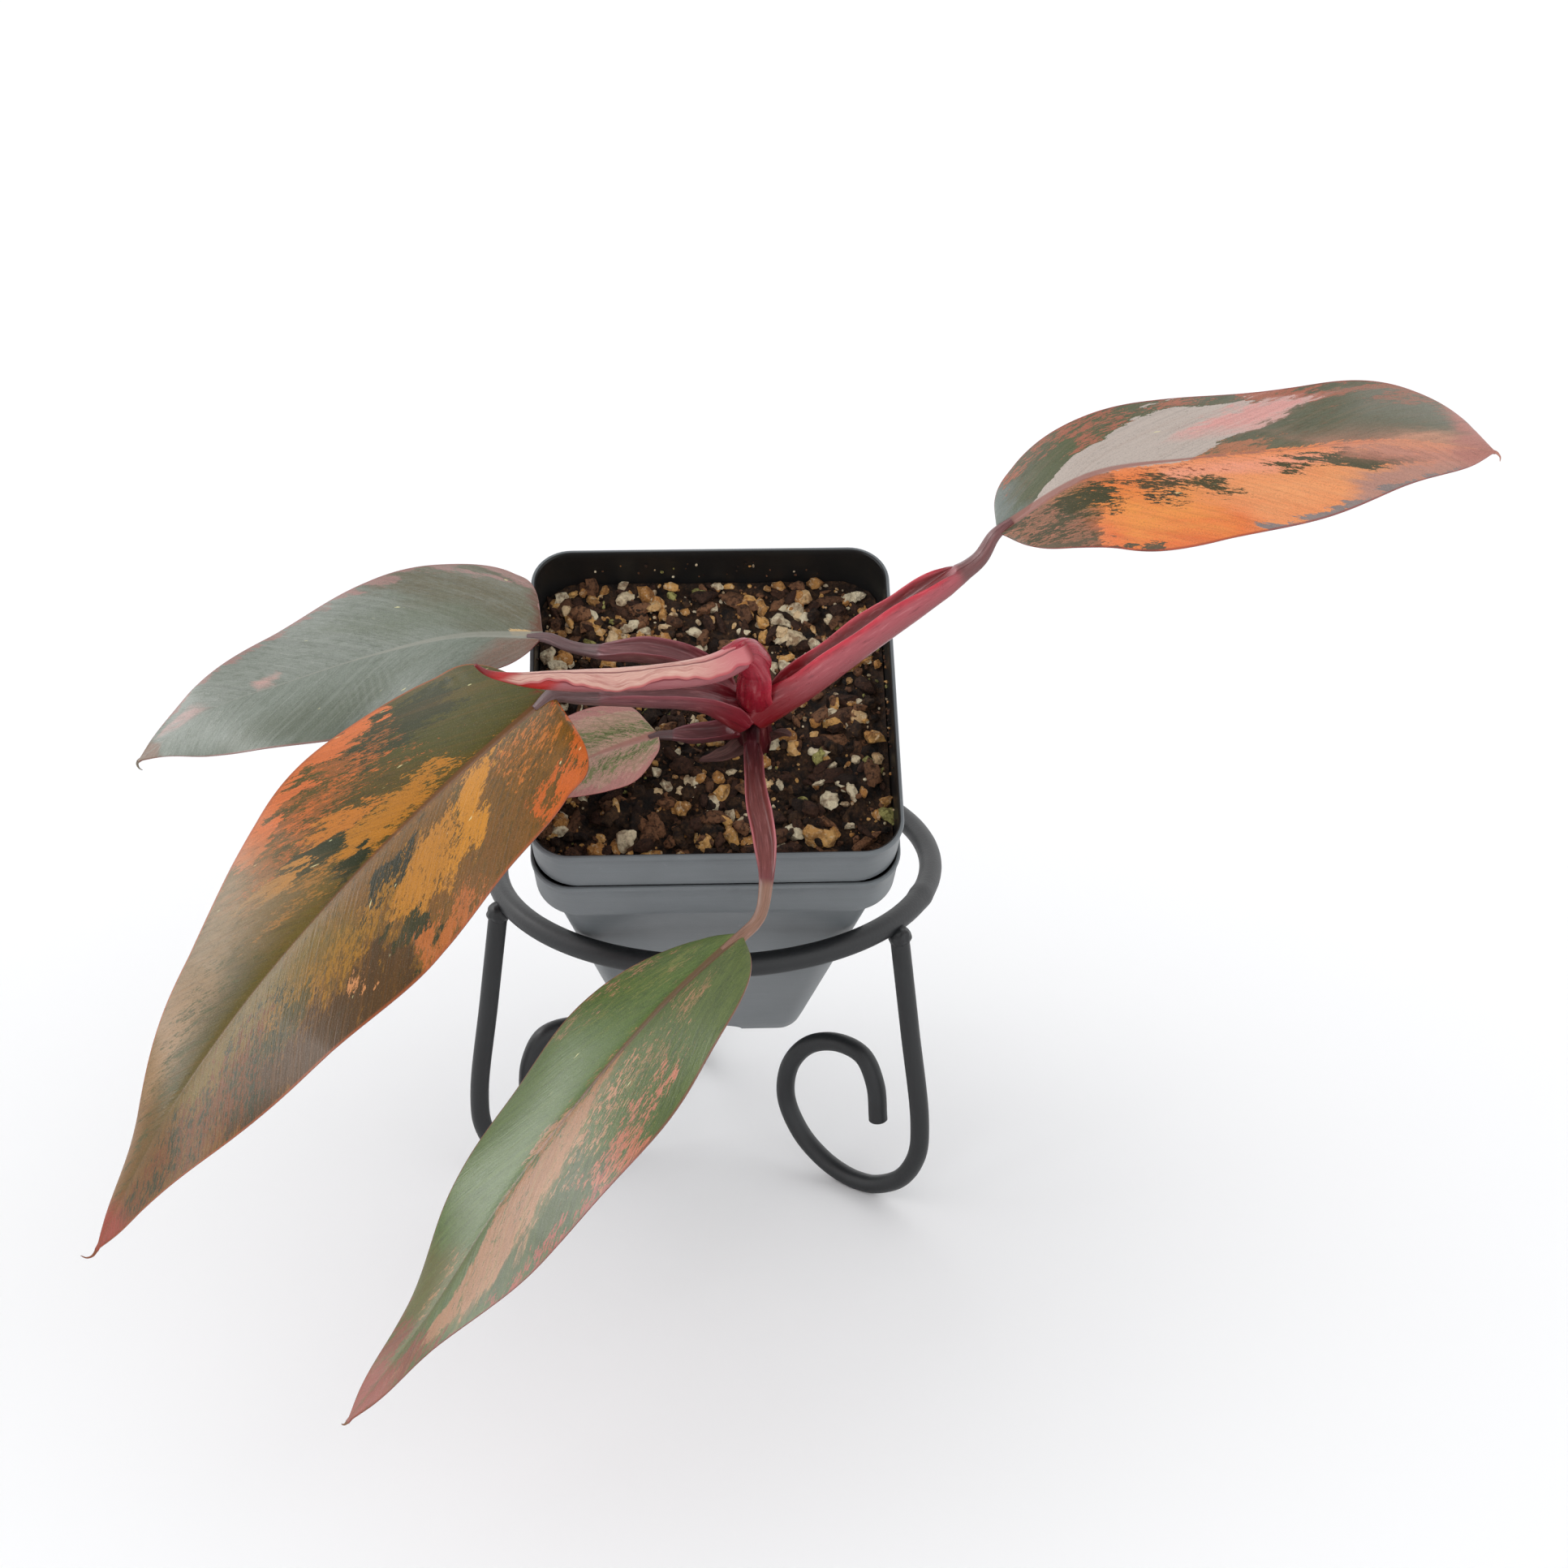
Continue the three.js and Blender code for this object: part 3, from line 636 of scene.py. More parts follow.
def loose_spot():
    """A place on the soil, inside the pot's round corners."""
    spread = SOIL_HALF - 1.0
    while True:
        x, y = dust.uniform(-spread, spread, 2)
        past_x, past_y = (abs(v) - (spread - SOIL_CORNER) for v in (x, y))
        if min(past_x, past_y) < 0 or math.hypot(past_x, past_y) < SOIL_CORNER - 1:
            return x, y


for count in range(CRUMBS):
    x, y = loose_spot()
    size = mix(*CRUMB_SIZES, dust.random() ** 2.0)
    kind = drawn_kind(x, y)
    stretch = dust.uniform((0.8, 0.5, 0.4), (2.0 if kind == BARK else 1.3, 1.0, 0.9))
    spin = turned("Z", dust.uniform(0, 360)) @ turned("X", dust.uniform(-50, 50))
    z = min(SOIL_TOP + humps(x, y) + size * dust.uniform(0.0, 0.9), SOIL_TALLEST + 0.6 - size)
    shape = chipped(small_ball, count + 500, 0.45, 7) * stretch * size @ spin.T
    pour(shape + np.array([x, y, z]), small_faces, kind, dust.random())

for count in range(GRITS):
    x, y = loose_spot()
    size = mix(*GRIT_SIZES, dust.random())
    kind = drawn_kind(x, y)
    spot = np.array([x, y, SOIL_TOP + humps(x, y) + dust.uniform(0.0, 0.5)])
    if count % GRIT_ON_WALL == 0:
        side = dust.integers(0, 4)
        along_wall = dust.uniform(-32, 32)
        height = dust.uniform(-11.5, -4)
        at_wall = COLLAR_HALF - WALL - 0.1
        spot = np.array([along_wall, at_wall, height]) @ turned("Z", 90 * side).T
    pour(grit_ball * size * dust.uniform(0.7, 1.3, 3) + spot, grit_faces, kind, dust.random())


def potting_mix():
    """Near-black peat, red-brown bark and cream to rust-stained pumice, all dull and wet."""
    material, sheet = new_finish("potting_mix")
    place = sheet.place()
    kind = sheet.mark("kind")
    tint = sheet.mark("tint")
    fine = place.grain(900, 4, 0.65)
    medium = place.grain(260, 3, 0.6)
    pores = place.grain(2200, 3, 0.7)
    peat = sheet.plain(seen(42, 28, 20)).coated(
        (seen(92, 66, 44), (fine * 0.5 + tint * 0.5).rise(0.3, 0.9)),
        (seen(160, 118, 76), fine.rise(0.85, 1.1) * 0.7),
        (seen(12, 9, 8), medium.rise(0.35, 0.85) * 0.9))
    bark = sheet.plain(seen(66, 42, 30)).coated(
        (seen(138, 96, 66), tint.rise(0.2, 1.0)),
        (seen(34, 22, 16), fine.rise(0.35, 0.9) * 0.85),
        (seen(172, 124, 84), pores.rise(0.75, 1.1) * 0.4))
    moss = sheet.plain(seen(178, 172, 104)).coated((seen(104, 98, 52), fine.rise(0.3, 0.9)))
    stone = sheet.plain(seen(240, 226, 192)).coated(
        (seen(228, 174, 102), tint.rise(0.2, 0.5)),
        (seen(190, 132, 72), tint.rise(0.55, 0.9) * 0.9),
        (seen(126, 84, 50), medium.rise(0.4, 0.85) * 0.75),
        (seen(244, 226, 190), (0.42 - fine).rise(0.0, 0.3) * 0.5),
        (seen(46, 32, 22), (pores * 0.6 + fine * 0.4).rise(0.6, 1.0) * 0.8))
    colour = peat.coated(
        (bark, kind.rise(0.4, 0.6)), (moss, kind.rise(1.4, 1.6)), (stone, kind.rise(2.4, 2.6)))
    lay_on(material, colour, 0.78 + 0.15 * fine, fine + 0.5 * medium + 0.3 * pores, 0.5, 1.0,
           Specular_IOR_Level=0.3)
    return material


mix_bed = make(
    "potting_mix", in_pot(np.vstack(soil_points)), soil_faces, potting_mix(),
    {"kind": np.concatenate(soil_kind), "tint": np.concatenate(soil_tint)}, sharp=32)
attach(mix_bed, "root")
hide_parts("soil")

# The stem and the leaf stalks: living tissue, fleshy and glossy, deep red to purple. Each stalk
# has a sheath, two thin wings along a groove, that wrapped the next leaf, and ends as a plain
# slender stalk. All of them leave the short stem above the soil.
STALK_STEPS = 140
SECTION_STEPS = 6


def bent_ring(corners):
    """A closed smooth ring of points through a few corners, for each row of them."""
    before, after, beyond = (np.roll(corners, -i, axis=1) for i in (-1, 1, 2))
    pieces = []
    for w in np.arange(SECTION_STEPS) / SECTION_STEPS:
        pieces.append(0.5 * (
            2 * corners + (after - before) * w
            + (2 * before - 5 * corners + 4 * after - beyond) * w ** 2
            + (3 * corners - before - 3 * after + beyond) * w ** 3))
    return np.stack(pieces, axis=2).reshape(len(corners), -1, corners.shape[-1])


def stalk(name, finish, line, radius, up, sheath=(0, 1), wing=0.0, flare=0.0, blunt=6,
          lips=(1, 1)):
    """A stalk along a line, its radius given at shares of its length, its groove towards up. The
    wings of its sheath stand up beside the groove, as high as wing and each lip's share say, lean
    out by flare, and end the more bluntly the larger blunt is."""
    s = np.linspace(0, 1, STALK_STEPS)
    middle, forward, length = smooth_line(line, s)
    across = unit(np.cross(forward, np.array(up, float)))
    above = np.cross(across, forward)
    r = np.interp(s, *np.transpose(radius))
    inside = np.clip((s - sheath[0]) / (sheath[1] - sheath[0]), 0, 1)
    opened = np.minimum(1, inside / 0.14) ** 0.6 * np.maximum(0, 1 - inside ** blunt) ** 0.6
    if wing == 0:
        opened = s * 0
    waver = np.array([noise.noise(Vector((t * 8, len(name), 1.0))) for t in s])
    right_lip = r * 0.5 + wing * lips[0] * opened * (1 + 0.25 * waver)
    left_lip = r * 0.5 + wing * lips[1] * opened * (1 - 0.25 * waver)
    lean = flare * opened
    zero = s * 0

    def half_section(lip):
        return [
            (r + 0.45 * lean, 0.5 * lip), (0.97 * r + lean, lip),
            (mix(0.6, 0.86, opened) * r + lean, mix(0.8 * r, 0.98 * lip, opened)),
            (0.64 * r + 0.4 * lean, mix(0.86 * r, 0.42 * lip, opened)),
            (0.34 * r, mix(0.95 * r, 0.34 * r, opened))]

    right = half_section(right_lip)
    left = [(-x, y) for x, y in half_section(left_lip)][::-1]
    corners = [
        (r, zero), *right, (zero, r * (1 - 0.72 * opened)), *left, (-r, zero),
        (-0.74 * r, -0.68 * r), (-0.25 * r, -0.97 * r), (0.25 * r, -0.97 * r), (0.74 * r, -0.68 * r)]
    in_groove = [0, 0, 0.3, 1, 1, 1, 1, 1, 1, 1, 0.3, 0, 0, 0, 0, 0, 0]
    at_lip = [0, 0.25, 1, 0.7, 0, 0, 0, 0, 0, 0.7, 1, 0.25, 0, 0, 0, 0, 0]
    # Corners on the stalk's underside, which its finish colours darker as painted shade.
    under = [0.2, 0, 0, 0, 0, 0, 0, 0, 0, 0, 0, 0, 0.2, 0.8, 1, 1, 0.8]
    corners = np.stack([np.stack(pair, axis=-1) for pair in corners], axis=1)
    ring_points = bent_ring(corners)
    rings = (middle[:, None] + ring_points[..., :1] * across[:, None]
             + ring_points[..., 1:] * above[:, None])
    points, faces = skin(rings)
    sides = ring_points.shape[1]
    steps = np.arange(sides) / SECTION_STEPS

    def round_it(numbers):
        """Numbers of the section's corners, carried round each ring and along the stalk."""
        ring_numbers = np.interp(steps, range(len(numbers) + 1), [*numbers, numbers[0]])
        return np.r_[np.tile(ring_numbers, STALK_STEPS), 0, 0]

    return make(name, points, faces, finish, {
        "along": np.r_[np.repeat(s, sides), 0, 1],
        "opened": np.r_[np.repeat(opened, sides), 0, 0],
        "past": np.r_[np.repeat(np.clip((s - sheath[1]) / 0.05 + 0.5, 0, 1), sides), 0, 1],
        "groove": round_it(in_groove), "lip": round_it(at_lip), "under": round_it(under),
        "round": round_it(np.arange(17.0)),
        "millimetres": np.r_[np.repeat(s * length, sides), 0, length]}, 60)


def fleshy(name, outer, inner, lip, shaded_belly, crown, slender, crown_share, gloss):
    """Stalk tissue: fine streaks along it, with its own tints outside and inside the sheath, on the
    wings' edges, near the crown and on the slender end, and painted shade as a darker tint below."""
    material, sheet = new_finish(name)
    along = sheet.mark("along")
    distance = sheet.mark("millimetres")
    opened = sheet.mark("opened")
    streaks = sheet.at(sheet.mark("round") * 2.2, distance * 0.16).grain(1.0, 4, 0.65)
    mottle = sheet.place().grain(420, 4, 0.6)
    colour = sheet.plain(outer).coated(
        # Painted shade: the stalk's underside is coloured darker.
        (shaded_belly, sheet.mark("under") * 0.85),
        (inner, sheet.mark("groove") * opened.rise(0.1, 0.6)),
        (lip, sheet.mark("lip").rise(0.25, 0.9) * opened.rise(0.3, 0.8)),
        (slender, sheet.mark("past").rise(0.1, 0.9) * 0.9),
        (crown, (1 - along / crown_share).rise(0.0, 0.9)),
        (seen(60, 12, 20), streaks.rise(0.5, 1.1) * 0.55),
        (seen(226, 160, 160), (0.5 - streaks).rise(0.05, 0.6) * 0.22))
    lay_on(material, colour, gloss + 0.12 * mottle, streaks + 0.3 * mottle, 0.05, 0.6)
    return material


crimson = fleshy(
    "crimson_stalk", seen(162, 74, 82), seen(108, 20, 22), seen(188, 36, 56), seen(122, 60, 62),
    seen(120, 12, 24), seen(98, 60, 58), 0.34, 0.26)
glossy_crimson = fleshy(
    "glossy_crimson_stalk", seen(146, 26, 44), seen(150, 50, 62), seen(176, 50, 66),
    seen(112, 14, 28), seen(118, 12, 26), seen(150, 34, 50), 0.5, 0.2)
plum = fleshy(
    "plum_stalk", seen(120, 74, 78), seen(106, 60, 62), seen(140, 72, 80), seen(84, 54, 56),
    seen(118, 20, 34), seen(92, 70, 70), 0.42, 0.32)
wine = fleshy(
    "wine_stalk", seen(108, 50, 52), seen(112, 54, 50), seen(176, 92, 98), seen(76, 38, 40),
    seen(56, 12, 20), seen(132, 98, 78), 0.42, 0.3)
crown_red = fleshy(
    "crown_stem", seen(92, 22, 32), seen(92, 22, 32), seen(110, 30, 40), seen(56, 18, 22),
    seen(44, 26, 24), seen(96, 22, 34), 0.75, 0.34)

STEM_LINE = in_pot([(10, -5, -30), (10, -5, -20), (10, -5, -11), (10, -5.4, -3), (10.4, -5.8, 6)])
STEM_RADII = [(0, 3.4), (0.2, 4.0), (0.4, 4.1), (0.6, 4.6), (0.8, 3.6), (1, 2.2)]
stem = stalk("short_stem", crown_red, STEM_LINE, STEM_RADII, up=(1, 0, 0))
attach(stem, "root")
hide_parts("stem")

STALKS = {
    "new_leaf_petiole": (glossy_crimson, "petiole", dict(
        line=[*in_pot([(10.2, -6, 4)]), (11.8, -57, 160), (12.2, -60, 166), (9.5, -62.6, 170.8),
              (4.5, -64.6, 170.6)],
        radius=[(0, 4.5), (0.3, 4.6), (0.6, 4.2), (0.8, 3.6), (1, 2.0)],
        sheath=(0, 0.66), wing=0.8, up=(1, 0, 0.4))),
    "right_petiole": (crimson, "petiole", dict(
        line=[(12, -52, 151), (23, -56, 160), (38, -58, 172.6), (50, -58, 181.6), (58, -57, 187),
              (64.5, -56, 191.8), (68, -55, 197.4), (72, -54, 200.6)],
        radius=[(0, 4.5), (0.3, 4.0), (0.6, 3.5), (0.72, 3.0), (0.77, 2.5), (0.8, 2.1), (0.86, 1.8),
                (0.94, 1.4), (1, 0.9)],
        sheath=(0.02, 0.775), wing=2.3, flare=0.1, blunt=9, lips=(0.9, 1.0), up=(0, -0.05, 1))),
    "left_petiole": (plum, "dark_petiole", dict(
        line=[(9, -52, 150), (-1, -58, 157), (-15, -61, 159), (-29, -63, 160), (-35.3, -64, 160.6),
              (-40, -67, 158)],
        radius=[(0, 4.4), (0.2, 3.4), (0.5, 2.8), (0.75, 2.3), (0.9, 1.9), (1, 1.1)],
        sheath=(0.02, 0.7), wing=1.5, flare=0.3, lips=(0.7, 1.2), up=(0, -0.45, 1))),
    "front_petiole": (wine, "petiole", dict(
        line=[(10.5, -50, 144.5), (11, -60, 143.5), (12, -76, 138.6), (14, -88.5, 133),
              (14.5, -97, 127.5), (13, -103.5, 122), (9.4, -106.4, 119.0), (4.5, -110, 116.8)],
        radius=[(0, 2.2), (0.15, 1.7), (0.3, 1.9), (0.45, 2.5), (0.58, 2.4), (0.68, 1.7),
                (0.8, 1.4), (0.93, 1.4), (1, 0.9)],
        sheath=(0.1, 0.715), wing=1.6, flare=0.6, blunt=3.2, up=(0.1, -0.5, 1))),
    "back_petiole": (plum, "dark_petiole", dict(
        line=[(9, -46, 149), (-3, -45, 160), (-14, -44, 163), (-25, -42, 162.2), (-33, -40, 162.8),
              (-39.3, -38, 164.4), (-44, -37.6, 164.4)],
        radius=[(0, 3.0), (0.2, 2.7), (0.5, 2.7), (0.66, 2.0), (0.75, 1.5), (0.9, 1.4), (1, 0.8)],
        sheath=(0.1, 0.68), wing=2.2, flare=0.6, blunt=3, lips=(0.6, 1.3), up=(0, -0.6, 1))),
    "low_petiole": (plum, "dark_petiole", dict(
        line=in_pot([(8, -5, -6.2), (1.5, -6.4, -6.4), (-5, -7.2, -6.2), (-13, -7.2, -5.8),
                     (-16, -8.6, -5)]),
        radius=[(0, 2.2), (0.3, 1.9), (0.55, 2.0), (0.75, 1.3), (1, 0.9)],
        sheath=(0.12, 0.74), wing=1.6, flare=0.5, blunt=3, up=(0, -0.6, 0.85))),
}
for node, (finish, slot, shape) in STALKS.items():
    piece = stalk(f"{node}_stalk", finish, **shape)
    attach(piece, "root")
    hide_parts(node)

# The new leaf: still rolled into a spindle, pale pink outside with red streaks and a red tip.
# Its free edge laps over the roll along its whole length.
ROLL_LINE = [
    (10.5, -62.8, 171), (2, -66, 168), (-13, -69, 167), (-32, -73, 168), (-43, -75, 169.4),
    (-50, -76, 171.4), (-52.5, -77, 173.8)]
ROLL_STATIONS = [0, 0.06, 0.25, 0.5, 0.75, 0.9, 1]
ROLL_RADII = [3.3, 3.5, 3.2, 2.9, 2.2, 1.1, 0.4]
ROLL_STEPS = 220
ROLL_SIDES = 96
FLAP_EDGE = 3.2
FLAP_RAGGED = 0.75
CREASE = 1.95


def eased(stations, values, s):
    """A smooth run of numbers through values given at stations."""
    x = np.asarray(stations, float)
    y = np.asarray(values, float)
    last = len(x) - 1
    end = np.clip(np.searchsorted(x, s, side="right"), 1, last)
    start = end - 1
    before = np.where(start > 0, start - 1, end)
    after = np.where(end < last, np.minimum(end + 1, last), start)
    half = (x[end] - x[start]) / 2
    pull = half / (x[start] - x[before])
    push = half / (x[after] - x[end])
    p = (s - x[start]) / (x[end] - x[start])
    return (
        (-pull * p ** 3 + 2 * pull * p ** 2 - pull * p) * y[before]
        + ((1 + pull) * p ** 3 + (-1.5 - 2 * pull) * p ** 2 + (-0.5 + pull) * p + 1) * y[start]
        + ((-1 - push) * p ** 3 + (1.5 + push) * p ** 2 + 0.5 * p) * y[end]
        + (push * p ** 3 - push * p ** 2) * y[after])


def rolled_blush():
    """Pale pink over tan outside, mauve on the inner turn, deep red at the tip and the edges."""
    material, sheet = new_finish("rolled_leaf")
    along = sheet.mark("along")
    lap = sheet.mark("lap")
    streaks = sheet.at(lap * 16, along * 5).grain(1.0, 4, 0.65)
    fine = sheet.at(lap * 60, along * 16, 7.0).grain(1.0, 4, 0.65)
    colour = sheet.plain(seen(206, 158, 144)).coated(
        (seen(176, 116, 106), streaks.rise(0.4, 0.95)),
        (seen(226, 194, 178), fine.rise(0.45, 1.0) * 0.55),
        (seen(190, 96, 104), (0.28 - along).rise(0.0, 0.26) * 0.85),
        (seen(150, 82, 90), (0.30 - lap).rise(0.0, 0.06) * 0.9),
        (seen(120, 24, 38), (0.045 - lap).rise(0.0, 0.03) * 0.9),
        (seen(176, 52, 66), lap.rise(0.955, 0.985) * 0.7),
        # Painted shade: the crease is coloured darker red.
        (seen(104, 34, 40), sheet.mark("crease").rise(0.3, 0.9) * 0.8),
        (seen(168, 26, 24), (along - 0.2 * lap).rise(0.66, 0.72)),
        (seen(120, 12, 20), along.rise(0.9, 0.97)),
        (seen(132, 22, 34), (0.03 - along).rise(0.0, 0.03)))
    lay_on(material, colour, 0.36 + 0.12 * streaks, streaks + fine, 0.10, 0.7)
    return material


s = np.linspace(0, 1, ROLL_STEPS)
middle, forward = smooth_line(ROLL_LINE, s)[:2]
across = unit(np.cross(forward, (0, 0, 1)))
above = np.cross(across, forward)
lap = np.tile(np.arange(ROLL_SIDES) / (ROLL_SIDES - 1), (ROLL_STEPS, 1))
ragged = np.array([noise.noise(Vector((t * 5, 2, 5))) + 0.4 * noise.noise(Vector((t * 21, 4, 5)))
                   for t in s])[:, None]
angle = lap * 2 * math.pi + FLAP_EDGE + FLAP_RAGGED * ragged
crease_at = np.abs((angle - CREASE - 0.15 * ragged + math.pi) % (2 * math.pi) - math.pi)
crease = np.exp(-(crease_at / 0.10) ** 2)
folds = np.array([[noise.noise(Vector((7 * u, t * 3.5, 2))) for u in lap[0]] for t in s])
reach = eased(ROLL_STATIONS, ROLL_RADII, s)[:, None] * (0.88 + 0.22 * lap + 0.07 * folds)
reach = reach - 0.35 * crease * (1 - s[:, None])
rings = (middle[:, None] + (reach * np.cos(angle))[..., None] * across[:, None]
         + (reach * np.sin(angle))[..., None] * above[:, None])
points, faces = skin(rings)
rolled = make("rolled_new_leaf", points, faces, rolled_blush(), {
    "along": np.r_[np.repeat(s, ROLL_SIDES), 0, 1], "lap": np.r_[lap.ravel(), 0.5, 0.5],
    "crease": np.r_[crease.ravel(), 0, 0]}, 50)
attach(rolled, "root")
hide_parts("new_leaf")

# The five open leaves: firm leathery blades with a sunk midrib above and a keel below, fine
# side veins that run forward to the edge, and green, orange and pink sectors that follow them.
WIDTH_STATIONS = [0, 0.03, 0.1, 0.25, 0.45, 0.65, 0.85, 0.95, 1]
BLADE_THICK = 0.55
BLADE_NARROWEST = 0.5
BLADE_STEPS = 230
BLADE_COLUMNS = 26
RIB_GROOVE = 0.25
RIB_KEEL = 1.0
PLEAT = 0.014
PLEAT_GAP = 2.3
VALLEY_WIDTH = 5.0
HAIR_STEPS = 24
HAIR_SIDES = 10
HAIR_THICK = 0.42


def hair(end, bends):
    """The hair that a leaf's tip dries to, as points and faces. Bends are steps away from the
    leaf's end."""
    path = np.array(end) + np.array([(0, 0, 0), *bends], float)
    share = np.linspace(0, 1, HAIR_STEPS)
    middle, forward = smooth_line(path, share)[:2]
    aside = unit(np.cross(forward, (0.3, 0.9, 0.1)))
    above = np.cross(aside, forward)
    thick = (HAIR_THICK * (1 - 0.8 * share))[:, None, None]
    loop = np.linspace(0, 2 * math.pi, HAIR_SIDES, endpoint=False)[None, :, None]
    section = np.cos(loop) * aside[:, None] + np.sin(loop) * above[:, None]
    return skin(middle[:, None] + thick * section)


def blade(name, finish, rib, right, left, roll, fold, wave, waves, phase, slope, pleat=1.0,
          valley=0.0, bends=None, fineness=1.0):
    """A leaf blade. Right and left are its half widths, looking along the rib from above.
    Slope is how far a side vein runs forward for each millimetre outwards, and valley how deep
    the rib lies between its arched halves."""
    steps = round(BLADE_STEPS * fineness)
    columns = round(BLADE_COLUMNS * fineness)
    share = np.arange(steps + 1) / steps
    s = (1 - np.cos(math.pi * share ** 0.9)) / 2
    middle, forward, length = smooth_line(rib, s)
    level = unit(np.cross(forward, (0, 0, 1)))
    lean = -math.radians(roll)
    aside = level * math.cos(lean) + np.cross(forward, level) * math.sin(lean)
    above = np.cross(aside, forward)
    t = np.arange(-columns, columns + 1) / columns
    t = t - 0.55 * np.sin(2 * math.pi * t) / (2 * math.pi)
    a, along = np.meshgrid(t, s)
    halves = [np.maximum(BLADE_NARROWEST, eased(WIDTH_STATIONS, [0, *side, 0], s))[:, None]
              for side in (right, left)]
    half = np.where(a > 0, *halves)
    out = np.abs(a) * half
    ripple = wave * a * a * np.sin(2 * math.pi * waves * along + phase + np.where(a > 0, 0, 2))
    height = out * math.sin(math.radians(fold)) + ripple * np.minimum(1, half / 8)
    arched = 1 - np.exp(-out / VALLEY_WIDTH) - a ** 2
    height = height + valley * arched * np.minimum(1, half / 8) * (1 - along ** 4)
    vein = along * length - out * slope
    drift = [noise.noise(Vector((v / 14, 3, 1))) for v in vein.ravel()]
    drift = np.array(drift).reshape(vein.shape)
    swell = np.sin(2 * math.pi * (vein / PLEAT_GAP + 2.5 * drift)) * PLEAT * pleat * (1 + 2 * drift)
    height = height + swell * np.clip(out / 3, 0, 1) * np.clip((half - out) / 2, 0, 1)
    taper = (1 - along) ** 0.5
    groove = RIB_GROOVE * np.exp(-(out / 0.9) ** 2) * taper
    keel = RIB_KEEL * np.exp(-(out / (0.5 + 0.9 * taper)) ** 2) * taper
    thick = BLADE_THICK * (1 - 0.45 * np.abs(a) ** 8)
    sideways = np.sign(a) * out * math.cos(math.radians(fold))
    flat = middle[:, None] + aside[:, None] * sideways[..., None]
    upper = flat + above[:, None] * (height + thick / 2 - groove)[..., None]
    lower = flat + above[:, None] * (height - thick / 2 - keel)[..., None]
    rings = np.concatenate([upper, lower[:, ::-1]], axis=1)
    points, faces = skin(rings)

    def both(numbers):
        rows = np.concatenate([numbers, numbers[:, ::-1]], axis=1)
        return np.r_[rows.ravel(), rows[0].mean(), rows[-1].mean()]

    marks = {
        "along": both(along), "aside": both(a), "out": both(out), "vein": both(vein / length),
        "face_up": np.r_[np.tile(np.r_[np.ones(len(t)), np.zeros(len(t))], len(s)), 1, 1]}
    if bends:
        tip_points, tip_faces = hair(middle[-1], bends)
        faces = faces + [[i + len(points) for i in face] for face in tip_faces]
        points = np.vstack([points, tip_points])
        at_tip = {"along": 1, "aside": 0, "out": 0, "vein": 1, "face_up": 1}
        marks = {mark: np.r_[numbers, np.full(len(tip_points), at_tip[mark])]
                 for mark, numbers in marks.items()}
    return make(name, points, faces, finish, marks, 50)


STREAK = 3.4
SHEEN = 0.022
LIT = 0.88
WASH = 0.25
UNDERSIDE = seen(122, 66, 62)
SALMON_BROWN = (174, 108, 86)


def leafy(red, green, blue):
    """A leaf colour as the eye gives it in the studio's strong light, less what the leaf's waxy
    skin throws back."""
    return (*[max(c * LIT - SHEEN, 0.002) for c in seen(red, green, blue)[:3]], 1.0)


